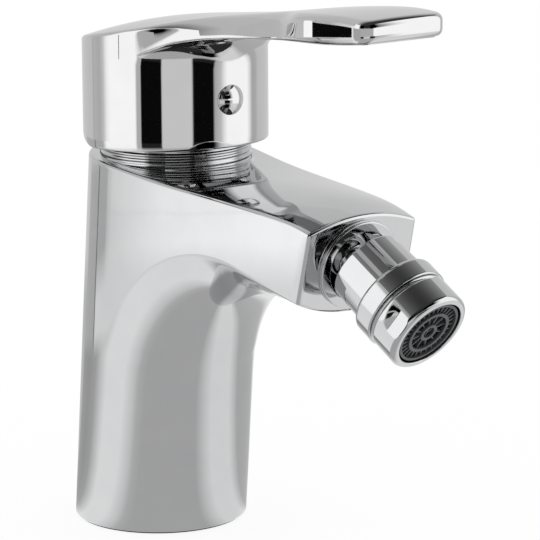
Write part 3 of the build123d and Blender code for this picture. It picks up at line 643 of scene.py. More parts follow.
cap_radius = 26.2
leave_turn = radians(60.0)
leave_x = nut_x + cap_radius * cos(leave_turn)
leave_y = cap_radius * sin(leave_turn)
tip_x, paddle_half, paddle_bow, paddle_corner = 112.9, 14.1, 1.5, 4.2
paddle_x, spine_end_x = 100.0, 98.0
handle_half = curve_through((leave_x, 62.0, paddle_x), (leave_y, 8.8, paddle_half), -1 / tan(leave_turn), 0.0)
lever_crest = curve_through((-23.5, -4.93, 9.31, 25.05, 42.0, 59.1, 77.8, 91.4, 103.8, 116.0),
                            (136.6, 143.0, 146.4, 148.5, 150.5, 152.74, 155.6, 157.25, 157.85, 157.0))
lever_under = curve_through((leave_x, 29.98, 39.98, 55.99, 72.0, 92.0, 104.0, 116.0),
                            (138.1, 141.4, 144.0, 145.7, 147.1, 148.6, 149.8, 151.4))
skirt_level_x, skirt_level_z, skirt_front_z = 5.5, 110.8, 112.5
skirt_rise = curve_through((-16.7, -6.4, skirt_level_x), (119.4, 114.0, skirt_level_z), None, 0.0)
crown_radius = 118.0
throat_foot_z = 137.6
level_z, level_drop = 138.1, 5.5
skirt_hem, skirt_wall, ceiling_z = 0.7, 2.1, 130.0
neck_lean, neck_round, rim_round, paddle_round = 3.6, 2.2, 0.9, 0.8
hem_round, hem_gain = 1.1, 0.9
throat_gain, throat_share, throat_drop = 2.0, 0.4, 0.5
past_cap = 5.0                 # the skirt's level edge is worked out to here past the cap
# Stretches of the handle, as start and length, over which its lean and roundings come and go
lean_comes, lean_goes = (22.6, 24.0), (64.0, 15.0)
neck_comes, neck_goes, paddle_comes = (24.0, 18.0), (66.0, 26.0), (74.0, 20.0)
hem_comes, hem_grows, throat_goes = (leave_x, 12.0), (74.0, 24.0), (leave_x, 42.0)
boss_radius, boss_bore, boss_foot = 9.6, 7.45, 122.6


def lever_height(x, y):
    """Top face of the cap and the handle, arched across."""
    return lever_crest(x) - crown_radius + sqrt(crown_radius ** 2 - y * y)


def skirt_height(x):
    """Lower edge of the cap."""
    if x > skirt_level_x:
        run = nut_x + cap_radius + past_cap - skirt_level_x
        return skirt_level_z + (skirt_front_z - skirt_level_z) * (x - skirt_level_x) / run
    return skirt_rise(x)


def along(x, stretch):
    """0 before a stretch of the handle, 1 past it."""
    return ease((x - stretch[0]) / stretch[1])


def lean_in(x):
    """How far the neck's side leans in at its top."""
    return neck_lean * along(x, lean_comes) * (1 - along(x, lean_goes))


def rim_size(x):
    """Rounding of the upper rim: small on the cap and paddle, large on the neck."""
    neck = neck_round * along(x, neck_comes) * (1 - along(x, neck_goes))
    return rim_round + neck + paddle_round * along(x, paddle_comes)


def hem_size(x):
    """Rounding of the lower rim."""
    return hem_round * along(x, hem_comes) + hem_gain * along(x, hem_grows)


def handle_outline():
    """Places and inward directions of the handle's +Y side, from the cap to the middle of its front."""
    side_steps, shoulder_steps, corner_steps, front_steps = 44, 5, 8, 10
    made = []
    for i in range(side_steps + 1):
        x = leave_x + (paddle_x - leave_x) * (i / side_steps) ** 1.1
        step = 0.01
        slope = (handle_half(x + step) - handle_half(x - step)) / (2 * step)
        if i == 0:
            slope = -1 / tan(leave_turn)
        if i == side_steps:
            slope = 0.0
        made.append((x, handle_half(x), point(slope, -1, 0) / hypot(slope, 1)))

    def front_x(y):
        return tip_x - paddle_bow * (y / paddle_half) ** 2

    centre_y = paddle_half - paddle_corner
    last_turn = 2 * paddle_bow * centre_y / paddle_half ** 2
    centre_x = front_x(centre_y + paddle_corner * sin(last_turn)) - paddle_corner * cos(last_turn)
    for i in range(1, shoulder_steps):
        made.append((paddle_x + (centre_x - paddle_x) * i / shoulder_steps, paddle_half, point(0, -1, 0)))
    for i in range(corner_steps + 1):
        turn = pi / 2 + (last_turn - pi / 2) * i / corner_steps
        made.append((centre_x + paddle_corner * cos(turn), centre_y + paddle_corner * sin(turn),
                     point(-cos(turn), -sin(turn), 0)))
    last_y = made[-1][1]
    for i in range(1, front_steps + 1):
        y = last_y * (1 - i / front_steps)
        turn = 2 * paddle_bow * y / paddle_half ** 2
        made.append((front_x(y), y, point(-cos(turn), -sin(turn), 0)))
    return made


def lever_mesh():
    """Cap, neck and paddle in one skin, hollow under the cap, with the boss for the bush."""
    rim_steps, hem_steps, inner_steps, throat_steps = 7, 4, 2, 6
    back_steps, across = 84, 36
    skin = Shell()
    handle = handle_outline()
    back = []
    for i in range(back_steps + 1):
        turn = leave_turn + (2 * pi - 2 * leave_turn) * i / back_steps
        inward = point(-cos(turn), -sin(turn), 0)
        back.append((nut_x - cap_radius * inward[0], -cap_radius * inward[1], inward, turn))

    def wall_of(x, y, inward):
        """Upper corner of the wall and the direction up it from its foot."""
        corner = point(x, y, 0) + inward * lean_in(x)
        corner[2] = lever_height(corner[0], corner[1])
        up = corner - point(x, y, lever_under(max(x, leave_x)))
        return corner, up / np.linalg.norm(up)

    def crest_of(x, y, inward):
        """Rounded rim from the top face to the wall."""
        corner, up = wall_of(x, y, inward)
        if x <= leave_x:
            up = point(0, 0, 1)
        rim = rim_size(x)
        inner = corner + inward * rim
        inner[2] = lever_height(inner[0], inner[1])
        return rounding(corner, inner, corner - up * rim, rim_steps)

    loop = [crest_of(x, y, inward) for x, y, inward, _ in back[:-1]]
    loop += [[flip(p) for p in crest_of(x, y, inward)] for x, y, inward in handle]
    loop += [crest_of(x, y, inward) for x, y, inward in handle[-2:0:-1]]
    skin.grid(list(zip(*loop)), closed=True)
    # top face, rings closing on a spine
    spine = [point(min(max(c[0][0], nut_x), spine_end_x), 0, 0) for c in loop]
    rings = []
    ring_steps = 12
    for step in range(ring_steps + 1):
        ring = []
        for c, s in zip(loop, spine):
            p = c[0] + (s - c[0]) * step / ring_steps
            p[2] = lever_height(p[0], p[1])
            ring.append(p)
        rings.append(ring)
    skin.grid(rings, closed=True)
    # cap wall behind the handle
    level_steps, wall_steps = 8, 12

    def level_height(turn):
        spread = (turn - leave_turn) / (2 * pi - 2 * leave_turn)
        return level_z - level_drop * sin(pi * spread) ** 2

    def skirt_rows(x, y, turn, top):
        """Wall from a level down to the skirt's rounded edge, then inside up to the ceiling."""
        low = skirt_height(x)
        inward = point(-cos(turn), -sin(turn), 0)
        corner = point(x, y, low)
        hem = rounding(corner, corner + point(0, 0, skirt_hem), corner + inward * skirt_hem, hem_steps)
        inside = corner + inward * skirt_wall
        inner_hem = 0.3
        inner = rounding(inside, inside - inward * inner_hem, inside + point(0, 0, inner_hem), inner_steps)
        ceiling = inside * (1, 1, 0) + point(0, 0, ceiling_z)
        return between(top, hem[0], wall_steps) + hem[1:] + inner + [ceiling]

    upper, lower = [], []
    for x, y, inward, turn in back:
        start = crest_of(x, y, inward)[-1]
        level = point(x, y, level_height(turn))
        upper.append(between(start, level, level_steps))
        lower.append(skirt_rows(x, y, turn, level))
    skin.grid(list(zip(*upper)))
    # handle side walls and their rounded lower edge
    side, hems = [], []
    for i, (x, y, inward) in enumerate(handle):
        size = hem_size(x)
        z = lever_under(x)
        start = crest_of(x, y, inward)[-1]
        corner = point(x, y, z)
        up = wall_of(x, y, inward)[1] if x > leave_x else point(0, 0, 1)
        side.append(between(start, corner + up * size, level_steps))
        hems.append(rounding(corner, corner + up * size, corner + inward * size, hem_steps))
    for turned in (lambda p: p, flip):
        skin.grid(list(zip(*[[turned(p) for p in column] for column in side])))
        skin.grid(list(zip(*[[turned(p) for p in column] for column in hems])))
    # front wall of the cap and the hollow rounding under the handle
    front = []
    throat = []
    for j in range(across + 1):
        t = 2 * j / across - 1
        turn = leave_turn * t
        x, y = nut_x + cap_radius * cos(turn), cap_radius * sin(turn)
        corner = point(x, y, lever_under(x))
        lift = throat_gain * ease(1 - abs(t) / throat_share) - throat_drop * abs(t) ** 8
        size = max(0.0, corner[2] - throat_foot_z + lift)
        outward = point(cos(turn), sin(turn), 0)
        end = corner + outward * size
        end[2] = lever_under(end[0])
        start = corner - point(0, 0, size)
        throat.append(rounding(corner, start, end, throat_steps))
        front.append(skirt_rows(x, y, turn, start))
    skin.grid(list(zip(*throat)))
    ring = front + lower[1:-1]
    skin.grid(list(zip(*ring)), closed=True)
    skin.fan(point(nut_x, 0, ceiling_z), [column[-1] for column in ring])
    # underside of the handle
    rows = [[column[-1] for column in throat]]
    for i in range(1, len(handle)):
        x, y, inward = handle[i]
        edge = hems[i][-1]
        weight = 1 - along(x, throat_goes)
        row = []
        for j in range(across + 1):
            t = 2 * j / across - 1
            px = edge[0] + weight * (rows[0][j][0] - rows[0][-1][0])
            row.append(point(px, edge[1] * (rows[0][j][1] / rows[0][-1][1]), lever_under(px)))
        row[0], row[-1] = flip(edge), edge
        rows.append(row)
    skin.grid(rows)
    # boss for the bush
    bevel, boss_top = 0.3, ceiling_z + 0.5
    boss = [(boss_bore, boss_foot), (boss_radius - bevel, boss_foot), (boss_radius, boss_foot + bevel),
            (boss_radius, boss_top), (boss_bore, boss_top), (boss_bore, boss_foot)]
    inner = Shell()
    inner.lathe(boss, 48)
    base = len(skin.points)
    skin.points += [(p[0] + nut_x, p[1], p[2]) for p in inner.points]
    skin.faces += [tuple(i + base for i in face) for face in inner.faces]
    return skin.mesh("lever_casting")


# Cartridge ring nut

def nut_mesh():
    """Ring with a real helical thread, and a hexagon above."""
    skin = Shell()
    pitch, depth, crest = 1.5, 0.3, 21.35
    low, high, segments = 102.6, 111.6, 144
    hexagon, hexagon_top, bore = 19.0, 114.2, 14.6
    thread_top, chamfer, bevel, pitch_steps = crest - 0.85, 0.3, 0.2, 14
    steps = int((high - low) / pitch * pitch_steps)
    rows = []
    for i in range(steps + 1):
        z = low + (high - low) * i / steps
        row = []
        for j in range(segments):
            phase = (z / pitch - j / segments) % 1.0
            flat = 0.5 - 0.5 * cos(2 * pi * phase)
            fade = min(1.0, (high - z) / pitch, (z - low) / pitch)
            radius = crest - depth * (1 - flat * fade)
            turn = 2 * pi * j / segments
            row.append((nut_x + radius * cos(turn), radius * sin(turn), z))
        rows.append(row)

    def ring(radius, z, corners=False):
        """Level row, round or with six corners."""
        made = []
        for j in range(segments):
            turn = 2 * pi * j / segments
            reach = radius
            if corners:
                reach = radius / cos((turn + pi / 6) % (pi / 3) - pi / 6)
            made.append((nut_x + reach * cos(turn), reach * sin(turn), z))
        return made

    rows.append(ring(thread_top, high))
    rows.append(ring(hexagon, high, True))
    rows.append(ring(hexagon, hexagon_top - chamfer, True))
    rows.append(ring(hexagon - chamfer, hexagon_top, True))
    rows.append(ring(bore + bevel, hexagon_top))
    rows.append(ring(bore, hexagon_top - bevel))
    rows.append(ring(bore, low))
    rows.append(rows[0])
    skin.grid(rows, closed=True)
    return skin.mesh("ring_nut")


# Ball-jointed outlet

seat_axis = Vector((cos(radians(14.0)), 0, -sin(radians(14.0))))
ball_centre = Vector((99.657, 0, 86.668))
outlet_axis = Vector((0.841058, 0.09403, -0.532711)).normalized()
outlet_side = Vector((0.069519, 0.957822, 0.278825)).normalized()


def placing(side, axis, origin=ball_centre):
    """Matrix from a lathe's own frame, Z along its axis."""
    across = axis.cross(side)
    return Matrix.Translation(origin) @ Matrix((side, across, axis)).transposed().to_4x4()


seat_place = placing(Vector((0, 1, 0)), seat_axis)
outlet_place = placing(outlet_side, outlet_axis)


def lathed(name, place, corners, segments=128):
    """Turned piece from the corners of its outline."""
    skin = Shell()
    skin.lathe(soft_outline(corners), segments)
    return skin.mesh(name, place)


def arc(radius, start, end, steps, centre=0.0):
    """Corners along a circle about the axis, from one angle off the axis to another, in degrees."""
    made = []
    for i in range(steps + 1):
        turn = radians(start + (end - start) * i / steps)
        made.append((radius * sin(turn), centre + radius * cos(turn), 0))
    return made


def adapter_mesh():
    """Flange on the spout's end face, with a dished front round the ball."""
    dish, rim, spigot, spigot_end = 12.2, 12.6, 11.9, -17.2
    face, thickness, socket, socket_end = -8.4, 1.2, 4.45, -17.0
    front = face + thickness
    rim_turn = 180 / pi * (pi - asin(sqrt(dish ** 2 - front ** 2) / dish))
    corners = [(0.0, spigot_end, 0), (spigot, spigot_end, 0), (spigot, face, 0), (rim, face, 0),
               (rim, front, 0.4), (dish * sin(radians(rim_turn)), front, 0.15)]
    corners += arc(dish, rim_turn, 158.0, 14)[1:]
    corners += [(socket, -11.4, 0), (socket, socket_end, 0), (0.0, socket_end, 0)]
    return lathed("seat_flange", seat_place, corners)


def ball_mesh():
    """Hollow ball on its stem."""
    bore, ball, stem, stem_end = 2.6, 8.0, 4.4, -17.0
    corners = [(bore, stem_end, 0), (stem, stem_end, 0), (stem, -6.9, 0.3)]
    corners += arc(ball, 146.5, 19.5, 36)[1:]
    corners += [(bore, 7.4, 0.15), (bore, stem_end, 0)]
    return lathed("ball", seat_place, corners)


def cup_mesh():
    """Cup that holds the ball from behind."""
    thread, front, back, seat = 9.6, 6.8, -4.5, 8.09
    corners = [(thread, front, 0), (11.0, front, 0.3), (10.6, back, 0.5), (7.2, back, 0.3)]
    corners += arc(seat, 116.0, 90.0, 8)
    corners += [(thread, 0.0, 0), (thread, front, 0)]
    return lathed("ball_cup", outlet_place, corners)


def collar_mesh():
    """Collar screwed into the cup, with a neck for the aerator."""
    bore, back, end = 5.5, 3.2, 17.0
    thread, outer, neck, step = 9.55, 12.6, 10.9, 11.3
    corners = [(bore, back, 0), (thread, back, 0.2), (thread, 7.3, 0), (10.7, 7.3, 0.1), (10.9, 6.8, 0.1),
               (outer, 6.8, 1.3), (outer, 13.3, 0.45), (step, 13.3, 0), (step, 14.3, 0), (neck, 14.3, 0),
               (neck, end, 0.2), (bore, end, 0.2), (bore, back, 0)]
    return lathed("ball_collar", outlet_place, corners)


def aerator_mesh():
    """Aerator housing with a rounded mouth and two spanner flats."""
    outer, inner, mouth = 12.15, 10.95, 10.1
    start, ledge, end = 14.4, 22.1, 23.3
    flat, flat_turn, flat_start = outer - 0.4, radians(-34.0), 18.6
    corners = [(inner, start, 0), (outer, start, 0.5)]
    corners += [(outer, height, 0) for height in (flat_start - 0.1, flat_start + 0.02, 18.8, 20.3, 21.6)]
    corners += [(outer, end, 1.4), (mouth, end, 0.25), (mouth, ledge, 0.1), (inner, ledge, 0),
                (inner, start, 0)]
    skin = Shell()
    skin.lathe(soft_outline(corners), 160)
    shaped = []
    for x, y, z in skin.points:
        turn = atan2(y, x) - flat_turn
        reach = hypot(x, y)
        if z > flat_start and reach * abs(cos(turn)) > flat:
            part = flat / (reach * abs(cos(turn)))
            x, y = x * part, y * part
        shaped.append((x, y, z))
    skin.points = shaped
    return skin.mesh("aerator_housing", outlet_place)


def plug_mesh():
    """Domed cover of the set screw."""
    radius, dome, height = 4.25, 1.6, 125.7
    shoulder, stem, stem_end = -0.34, 3.4, -2.1
    sphere = (radius ** 2 + dome ** 2) / (2 * dome)
    half = 180 / pi * asin(radius / sphere)
    corners = arc(sphere, 0.0, half, 16, dome - sphere)
    corners += [(radius, shoulder, 0), (stem, shoulder, 0), (stem, stem_end, 0), (0.0, stem_end, 0)]
    place = placing(Vector((0, 1, 0)), Vector((1, 0, 0)), Vector((nut_x + cap_radius, 0, height)))
    return lathed("index_plug", place, corners, 64)


def jet_grid():
    """Geometry Nodes tree: radial ribs between two radii, repeated round the axis."""
    tree = bpy.data.node_groups.new("radial_ribs", "GeometryNodeTree")
    face = tree.interface
    face.new_socket("Geometry", in_out="OUTPUT", socket_type="NodeSocketGeometry")
    face.new_socket("Count", in_out="INPUT", socket_type="NodeSocketInt")
    for label in ("Inner", "Outer", "Width", "Depth", "Face"):
        face.new_socket(label, in_out="INPUT", socket_type="NodeSocketFloat")
    face.new_socket("Material", in_out="INPUT", socket_type="NodeSocketMaterial")
    given = add(tree, "NodeGroupInput").outputs
    length = add(tree, "ShaderNodeMath", {0: given["Outer"], 1: given["Inner"]}, operation="SUBTRACT")
    total = add(tree, "ShaderNodeMath", {0: given["Outer"], 1: given["Inner"]}, operation="ADD").outputs[0]
    middle = add(tree, "ShaderNodeMath", {0: total, 1: 0.5}, operation="MULTIPLY").outputs[0]
    size = add(tree, "ShaderNodeCombineXYZ", {"X": length.outputs[0], "Y": given["Width"],
                                              "Z": given["Depth"]})
    bar = add(tree, "GeometryNodeMeshCube", {"Size": size.outputs["Vector"]})
    sunk = add(tree, "ShaderNodeMath", {0: given["Depth"], 1: -0.5}, operation="MULTIPLY").outputs[0]
    height = add(tree, "ShaderNodeMath", {0: given["Face"], 1: sunk}, operation="ADD").outputs[0]
    offset = add(tree, "ShaderNodeCombineXYZ", {"X": middle, "Z": height})
    moved = add(tree, "GeometryNodeTransform", {"Geometry": bar.outputs["Mesh"],
                                                "Translation": offset.outputs["Vector"]})
    points = add(tree, "GeometryNodePoints", {"Count": given["Count"]})
    index = add(tree, "GeometryNodeInputIndex")
    step = add(tree, "ShaderNodeMath", {0: 2 * pi, 1: given["Count"]}, operation="DIVIDE").outputs[0]
    angle = add(tree, "ShaderNodeMath", {0: index.outputs["Index"], 1: step}, operation="MULTIPLY").outputs[0]
    turn = add(tree, "ShaderNodeCombineXYZ", {"Z": angle})
    copies = add(tree, "GeometryNodeInstanceOnPoints", {"Points": points.outputs["Points"],
                                                       "Instance": moved.outputs["Geometry"],
                                                       "Rotation": turn.outputs["Vector"]})
    real = add(tree, "GeometryNodeRealizeInstances", {"Geometry": copies.outputs["Instances"]})
    painted = add(tree, "GeometryNodeSetMaterial", {"Geometry": real.outputs["Geometry"],
                                                   "Material": given["Material"]})
    add(tree, "NodeGroupOutput", {"Geometry": painted.outputs["Geometry"]})
    return tree


def ribbed_mesh(name, tree, **values):
    """Mesh of one run of ribs, in metres, in the lathe's own frame."""
    carrier = bpy.data.objects.new(name, bpy.data.meshes.new(name))
    bpy.context.scene.collection.objects.link(carrier)
    modifier = carrier.modifiers.new("ribs", "NODES")
    modifier.node_group = tree
    for item in tree.interface.items_tree:
        if item.in_out == "INPUT" and item.name in values:
            modifier[item.identifier] = values[item.name]
    bpy.context.view_layer.update()
    made = bpy.data.meshes.new_from_object(carrier.evaluated_get(bpy.context.evaluated_depsgraph_get()))
    bpy.data.objects.remove(carrier)
    return made


def insert_mesh():
    """Dark jet cartridge: rings turned on the lathe, ribs from the tree."""
    face, ring_back, edge = 22.8, 21.5, 0.15
    wall_in, wall_out, back, flange, flange_front = 8.8, 9.6, 18.6, 10.7, 19.9
    rib_width, rib_depth, rib_drop = 0.4, 0.8, 0.6
    skin = Shell()
    skin.lathe(soft_outline([(wall_in, back, 0), (flange, back, 0), (flange, flange_front, 0),
                             (wall_out, flange_front, 0), (wall_out, 22.05, 0), (wall_out, face, edge),
                             (wall_in, face, edge), (wall_in, back, 0)]), 120)
    for inner, outer, segments in ((5.6, 6.6, 96), (1.7, 2.7, 64)):
        skin.lathe(soft_outline([(inner, ring_back, 0), (outer, ring_back, 0), (outer, face, edge),
                                 (inner, face, edge), (inner, ring_back, 0)]), segments)
    mesh = skin.mesh("jet_insert", outlet_place)
    tree = jet_grid()
    work = bmesh.new()
    work.from_mesh(mesh)
    place = outlet_place.copy()
    place.translation = place.translation * MM
    for count, inner, outer in ((30, 6.3, 9.4), (12, 2.4, 5.8), (3, 0.0, 1.9)):
        ribs = ribbed_mesh("ribs", tree, Count=count, Inner=inner * MM, Outer=outer * MM,
                           Width=rib_width * MM, Depth=rib_depth * MM, Face=(face - rib_drop) * MM,
                           Material=jet_plastic)
        ribs.transform(place)
        work.from_mesh(ribs)
        bpy.data.meshes.remove(ribs)
    work.to_mesh(mesh)
    work.free()
    return mesh


piece("chrome_body", body_mesh(), body_chrome, "base", "polished_chrome", "body")
piece("chrome_lever", lever_mesh(), lever_chrome, "lever_set", "lever_chrome", "lever")
piece("threaded_ring", nut_mesh(), thread_chrome, "base", "ring_nut", "cartridge_nut")
piece("domed_plug", plug_mesh(), lever_chrome, "lever_set", "lever_chrome", "index_plug")
piece("seat_flange", adapter_mesh(), swivel_chrome, "base", "swivel_chrome", "swivel_adapter")
piece("polished_ball", ball_mesh(), swivel_chrome, "base", "ball_chrome", "ball_stud")
piece("ball_cup", cup_mesh(), swivel_chrome, "outlet", "swivel_chrome", "swivel_cup")
piece("ball_collar", collar_mesh(), swivel_chrome, "outlet", "swivel_chrome", "swivel_collar")
piece("aerator_ring", aerator_mesh(), swivel_chrome, "outlet", "swivel_chrome", "aerator_housing")
piece("jet_face", insert_mesh(), jet_plastic, "outlet", "jet_grid", "aerator_insert")

# The hidden pieces keep the solids' own shapes and take the finish of their slot.
slot_materials = {
    "brass": bare_brass,
    "steel": bright_steel,
    "black_rubber": black_rubber,
    "clear_plastic": white_plastic,
    "grey_plastic": grey_plastic,
    "white_ceramic": ceramic,
}
for entry in frame["record"]["subparts"]:
    finish = slot_materials.get(entry["material_slot"])
    if finish:
        node = frame["nodes"][entry["node"]]
        node.data.materials.clear()
        node.data.materials.append(finish)


# Studio

def stage_piece(name, skin, material, shown_to_camera=True):
    """Part of the studio, which is not part of the object."""
    mesh = skin.mesh(name)
    mesh.materials.append(material)
    made = bpy.data.objects.new(name, mesh)
    bpy.context.scene.collection.objects.link(made)
    if not shown_to_camera:
        made.visible_camera = made.visible_diffuse = made.visible_shadow = False


# Levels of the studio by direction: degrees round the table from the front, and brightness.
strongest = 1.5                # the scale of the levels, which a ramp holds from 0 to 1
black, dim, pale, bright = 0.004, 0.02, 0.74, 1.42
body_offset = 23.8             # from the middle to the body's flat side
panel_radius, panel_height, table_z = 460.0, 480.0, -0.3
white_share = 0.9              # how much of the table is plain white, past the shadow
# Where one run of levels gives way to the next, in metres: outwards on the table twice, down the panels once
near_end, middle_end, panel_foot = (0.225, 0.26), (0.32, 0.4), (0.034, 0.024)

near_table_levels = (
    (-180, 0.46), (-158, 0.44), (-142, 0.52), (-128, 0.84), (-119, 1.06), (-91, 1.06), (-77, 0.8),
    (-71, 0.62), (-62, 0.55), (0, 0.55), (11, 0.8), (20, 0.97), (48, 0.97), (58, 0.75), (65, 0.58),
    (110, 0.58), (125, 0.9), (150, 0.62), (180, 0.6),
)
middle_table_levels = (
    (-180, 0.57), (-157.2, 0.57), (-156.9, 0.05), (-155.9, 0.05), (-155.6, 0.6), (-154.2, 0.95), (-132, 0.95),
    (-122, 1.06), (-94, 1.06), (-80, 0.8), (-74, 0.62), (-65, 0.55), (-3, 0.55), (8, 0.8), (17, 0.97),
    (45, 0.97), (55, 0.75), (62, 0.58), (107, 0.58), (180, 0.6),
)
low_panel_levels = (
    (-180, 0.57), (-157.2, 0.57), (-156.9, 0.05), (-155.9, 0.05), (-155.6, 0.56), (-138.5, 0.58), (-137, 0.7),
    (-135.5, 0.95), (-133.5, 1.2), (-131.5, 1.34), (-129, 1.41), (-86.5, 1.41), (-85, 0.62), (-80, 0.62),
    (-79, dim), (-55, dim), (-53.5, 0.83), (-19, 0.84), (-17, dim), (7, dim), (9, 0.55), (17, 0.75),
    (21, 1.1), (26, 1.4), (57, bright), (63, 1.0), (67, 0.58), (74, 0.58), (81, pale), (180, pale),
)
panel_levels = (
    (-180, pale), (-156.4, pale), (-155.4, 0.53), (-154.4, 0.53), (-153.4, 0.66), (-140, 0.6), (-133, 0.78),
    (-127, 1.25), (-121, bright), (-83.5, 1.41), (-82, 0.62), (-77, 0.62), (-76, black), (-52, black),
    (-50.5, 0.83), (-16, 0.84), (-14, black), (10, black), (12, 0.55), (20, 0.75), (24, 1.1), (29, 1.4),
    (60, bright), (66, 1.0), (70, 0.58), (77, 0.58), (84, pale), (180, pale),
)


def levels_round(tree, turn, levels):
    """Brightness by direction round the table."""
    share = add(tree, "ShaderNodeMapRange", {"Value": turn, "From Min": -pi, "From Max": pi})
    ramp = add(tree, "ShaderNodeValToRGB", {"Fac": share.outputs["Result"]})
    elements = ramp.color_ramp.elements
    for i, (way, level) in enumerate(levels):
        spot = (way + 180) / 360
        stop = elements[i] if i < 2 else elements.new(spot)
        stop.position = spot
        stop.color = (*[level / strongest] * 3, 1)
    return ramp.outputs["Color"]


def giving_way(tree, value, start, end, first, second):
    """First colour, giving way to the second as a value goes from start to end."""
    share = add(tree, "ShaderNodeMapRange", {"Value": value, "From Min": start, "From Max": end})
    mixed = add(tree, "ShaderNodeMix", {"Factor": share.outputs["Result"], "A": first, "B": second},
                data_type="RGBA")
    return mixed.outputs["Result"]


def where_all(tree, *steps):
    """1 where each value is past its end, 0 where one is short of its start."""
    product = 1.0
    for value, start, end in steps:
        step = add(tree, "ShaderNodeMapRange", {"Value": value, "From Min": start, "From Max": end})
        both = add(tree, "ShaderNodeMath", {0: product, 1: step.outputs["Result"]}, operation="MULTIPLY")
        product = both.outputs[0]
    return product


def close_glow(tree, colour, level):
    """Surface that only gives light."""
    glow = add(tree, "ShaderNodeEmission", {"Color": colour, "Strength": level})
    add(tree, "ShaderNodeOutputMaterial", {"Surface": glow.outputs[0]})


def round_the_table(tree):
    """Direction round the table and the place, split in its parts."""
    place = add(tree, "ShaderNodeTexCoord")
    split = add(tree, "ShaderNodeSeparateXYZ", {"Vector": place.outputs["Object"]})
    turn = add(tree, "ShaderNodeMath", {0: split.outputs["Y"], 1: split.outputs["X"]}, operation="ARCTAN2")
    return turn.outputs[0], split.outputs


def table():
    """Pale table top: white with a soft shadow to the camera, and bands of light to the chrome."""
    skin = Shell()
    skin.lathe([(0.0, table_z), (panel_radius - 1.0, table_z)], 128)
    made, tree = bare_material("white_table")
    matt = add(tree, "ShaderNodeBsdfDiffuse", {"Color": linear("#ffffff")})
    white = add(tree, "ShaderNodeEmission", {"Color": linear("#ffffff"), "Strength": 1.0})
    seen = add(tree, "ShaderNodeMixShader", {0: white_share, 1: matt.outputs[0], 2: white.outputs[0]})
    turn, split = round_the_table(tree)
    flat = add(tree, "ShaderNodeCombineXYZ", {"X": split["X"], "Y": split["Y"]})
    reach = add(tree, "ShaderNodeVectorMath", {0: flat.outputs["Vector"]}, operation="LENGTH")
    away = reach.outputs["Value"]
    # further out the bands follow what the body's flat side sees, which lies off the middle
    skew = add(tree, "ShaderNodeMath", {0: body_offset * MM, 1: away}, operation="DIVIDE")
    skewed = add(tree, "ShaderNodeMath", {0: turn, 1: skew.outputs[0]}, operation="SUBTRACT").outputs[0]
    inner = giving_way(tree, away, *near_end, levels_round(tree, turn, near_table_levels),
                       levels_round(tree, skewed, middle_table_levels))
    bands = giving_way(tree, away, *middle_end, inner, levels_round(tree, skewed, low_panel_levels))
    glow = add(tree, "ShaderNodeEmission", {"Color": bands, "Strength": strongest})
    ray = add(tree, "ShaderNodeLightPath")
    both = add(tree, "ShaderNodeMixShader", {0: ray.outputs["Is Glossy Ray"], 1: seen.outputs[0],
                                             2: glow.outputs[0]})
    add(tree, "ShaderNodeOutputMaterial", {"Surface": both.outputs[0]})
    stage_piece("table", skin, made)


def tent():
    """Soft white panels and dark gaps round the table, which only the chrome sees."""
    back_edge, right_edge, left_edge = (-118, -125), (-80, -75), (20, 12)        # degrees round the table
    fade_height, dark_height = (0.14, 0.24), (0.11, 0.16)                        # metres
    fade_level, dark_share = 0.68, 0.97
    skin = Shell()
    skin.lathe([(panel_radius, table_z), (panel_radius, panel_height)], 128)
    made, tree = bare_material("studio_panels")
    turn, split = round_the_table(tree)
    skewed = add(tree, "ShaderNodeMath", {0: turn, 1: body_offset / panel_radius}, operation="SUBTRACT")
    bands = giving_way(tree, split["Z"], *panel_foot, levels_round(tree, turn, panel_levels),
                       levels_round(tree, skewed.outputs[0], low_panel_levels))
    # behind the object the panels fade into the pale ceiling
    fade = where_all(tree, (turn, *map(radians, back_edge)), (split["Z"], *fade_height))
    colour = add(tree, "ShaderNodeMix", {"Factor": fade, "A": bands, "B": (*[fade_level / strongest] * 3, 1)},
                 data_type="RGBA")
    # in front, over the gap for the camera, the room is dark
    dark = where_all(tree, (turn, *map(radians, right_edge)), (turn, *map(radians, left_edge)),
                     (split["Z"], *dark_height))
    strength = add(tree, "ShaderNodeMapRange", {"Value": dark, "To Min": strongest,
                                                "To Max": strongest * (1 - dark_share)})
    close_glow(tree, colour.outputs["Result"], strength.outputs["Result"])
    stage_piece("studio_panels", skin, made, shown_to_camera=False)


def card(name, rows, level):
    """Plain card that only the chrome sees."""
    skin = Shell()
    skin.grid(rows)
    made, tree = bare_material(name)
    close_glow(tree, linear("#ffffff"), level)
    stage_piece(name, skin, made, shown_to_camera=False)


def bent_card(name, radius, directions, heights, level):
    """Card bent round the table, just inside the panels."""
    card(name, [[(radius * cos(radians(way)), radius * sin(radians(way)), z) for way in directions]
                for z in heights], level)


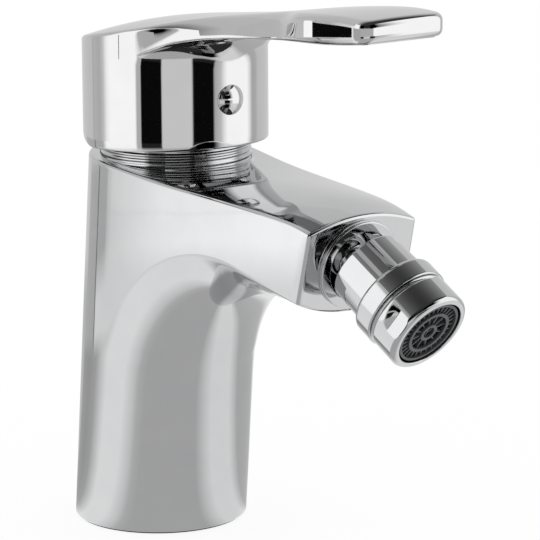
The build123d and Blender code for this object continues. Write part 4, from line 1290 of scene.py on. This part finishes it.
def cards():
    """What the paddle shows: a white front, a soft grey corner, and black beside white on its side."""
    bent_card("white_card_front", panel_radius - 4.0, range(3, 32, 2), (83.0, 132.0), bright)
    bent_card("grey_card_corner", panel_radius - 3.0, range(-82, 5, 2), (88.0, 128.0), 0.6)
    # two cards stand on a line that leaves the cap's side towards the panels
    start_x, start_y, line_turn = 17.2, -25.0, radians(-108.4)
    for name, lower, upper, level in (
        ("black_card_side", ((13.5, 135.0), (95.0, 123.5)), ((13.5, 144.6), (95.0, 134.0)), black),
        ("white_card_side", ((5.0, 136.5), (13.4, 135.0)), ((5.0, 149.5), (13.4, 148.0)), bright),
    ):
        card(name, [[(start_x + reach * cos(line_turn), start_y + reach * sin(line_turn), z)
                     for reach, z in edge] for edge in (lower, upper)], level)
    card("grey_card_paddle", [[(86.7, -33.0, z), (112.1, -42.8, z)] for z in (130.0, 152.0)], 0.55)


def studio_light():
    """Even white light; over the panels the chrome sees a dark room in front and a pale ceiling behind."""
    world = bpy.data.worlds.new("studio")
    bpy.context.scene.world = world
    world.use_nodes = True
    tree = world.node_tree
    tree.nodes.clear()
    room_level, ceiling_level = 0.05, 0.7
    place = add(tree, "ShaderNodeTexCoord")
    split = add(tree, "ShaderNodeSeparateXYZ", {"Vector": place.outputs["Generated"]})
    level = add(tree, "ShaderNodeMapRange", {"Value": split.outputs["X"], "From Min": 0.1, "From Max": -0.5,
                                             "To Min": room_level, "To Max": ceiling_level})
    ceiling = add(tree, "ShaderNodeBackground", {"Color": linear("#ffffff"), "Strength": level.outputs[0]})
    white = add(tree, "ShaderNodeBackground", {"Color": linear("#ffffff"), "Strength": 1.0})
    ray = add(tree, "ShaderNodeLightPath")
    both = add(tree, "ShaderNodeMixShader", {0: ray.outputs["Is Glossy Ray"], 1: white.outputs[0],
                                             2: ceiling.outputs[0]})
    add(tree, "ShaderNodeOutputWorld", {"Surface": both.outputs[0]})


def camera():
    """Long lens a metre away, in front and to the right of the object, a little above it."""
    data = bpy.data.cameras.new("camera")
    picture_width, focal_length = 540, 3480.743       # pixels
    data.sensor_width = 36.0
    data.lens = focal_length * data.sensor_width / picture_width
    data.clip_start, data.clip_end = 0.05, 20.0
    made = bpy.data.objects.new("camera", data)
    bpy.context.scene.collection.objects.link(made)
    turn, lift, roll = radians(52.794), radians(12.14), radians(-0.3)
    back = Vector((sin(turn) * cos(lift), -cos(turn) * cos(lift), sin(lift)))
    right = Vector((0, 0, 1)).cross(back).normalized()
    up = back.cross(right)
    frame_turn = Matrix((right, up, back)).transposed().to_4x4() @ Matrix.Rotation(roll, 4, "Z")
    target = Vector((0.01943, 0.02559, 0.07149))
    made.matrix_world = Matrix.Translation(target + back) @ frame_turn
    bpy.context.scene.camera = made


table()
tent()
cards()
studio_light()
camera()
bpy.context.scene.view_settings.view_transform = "Standard"
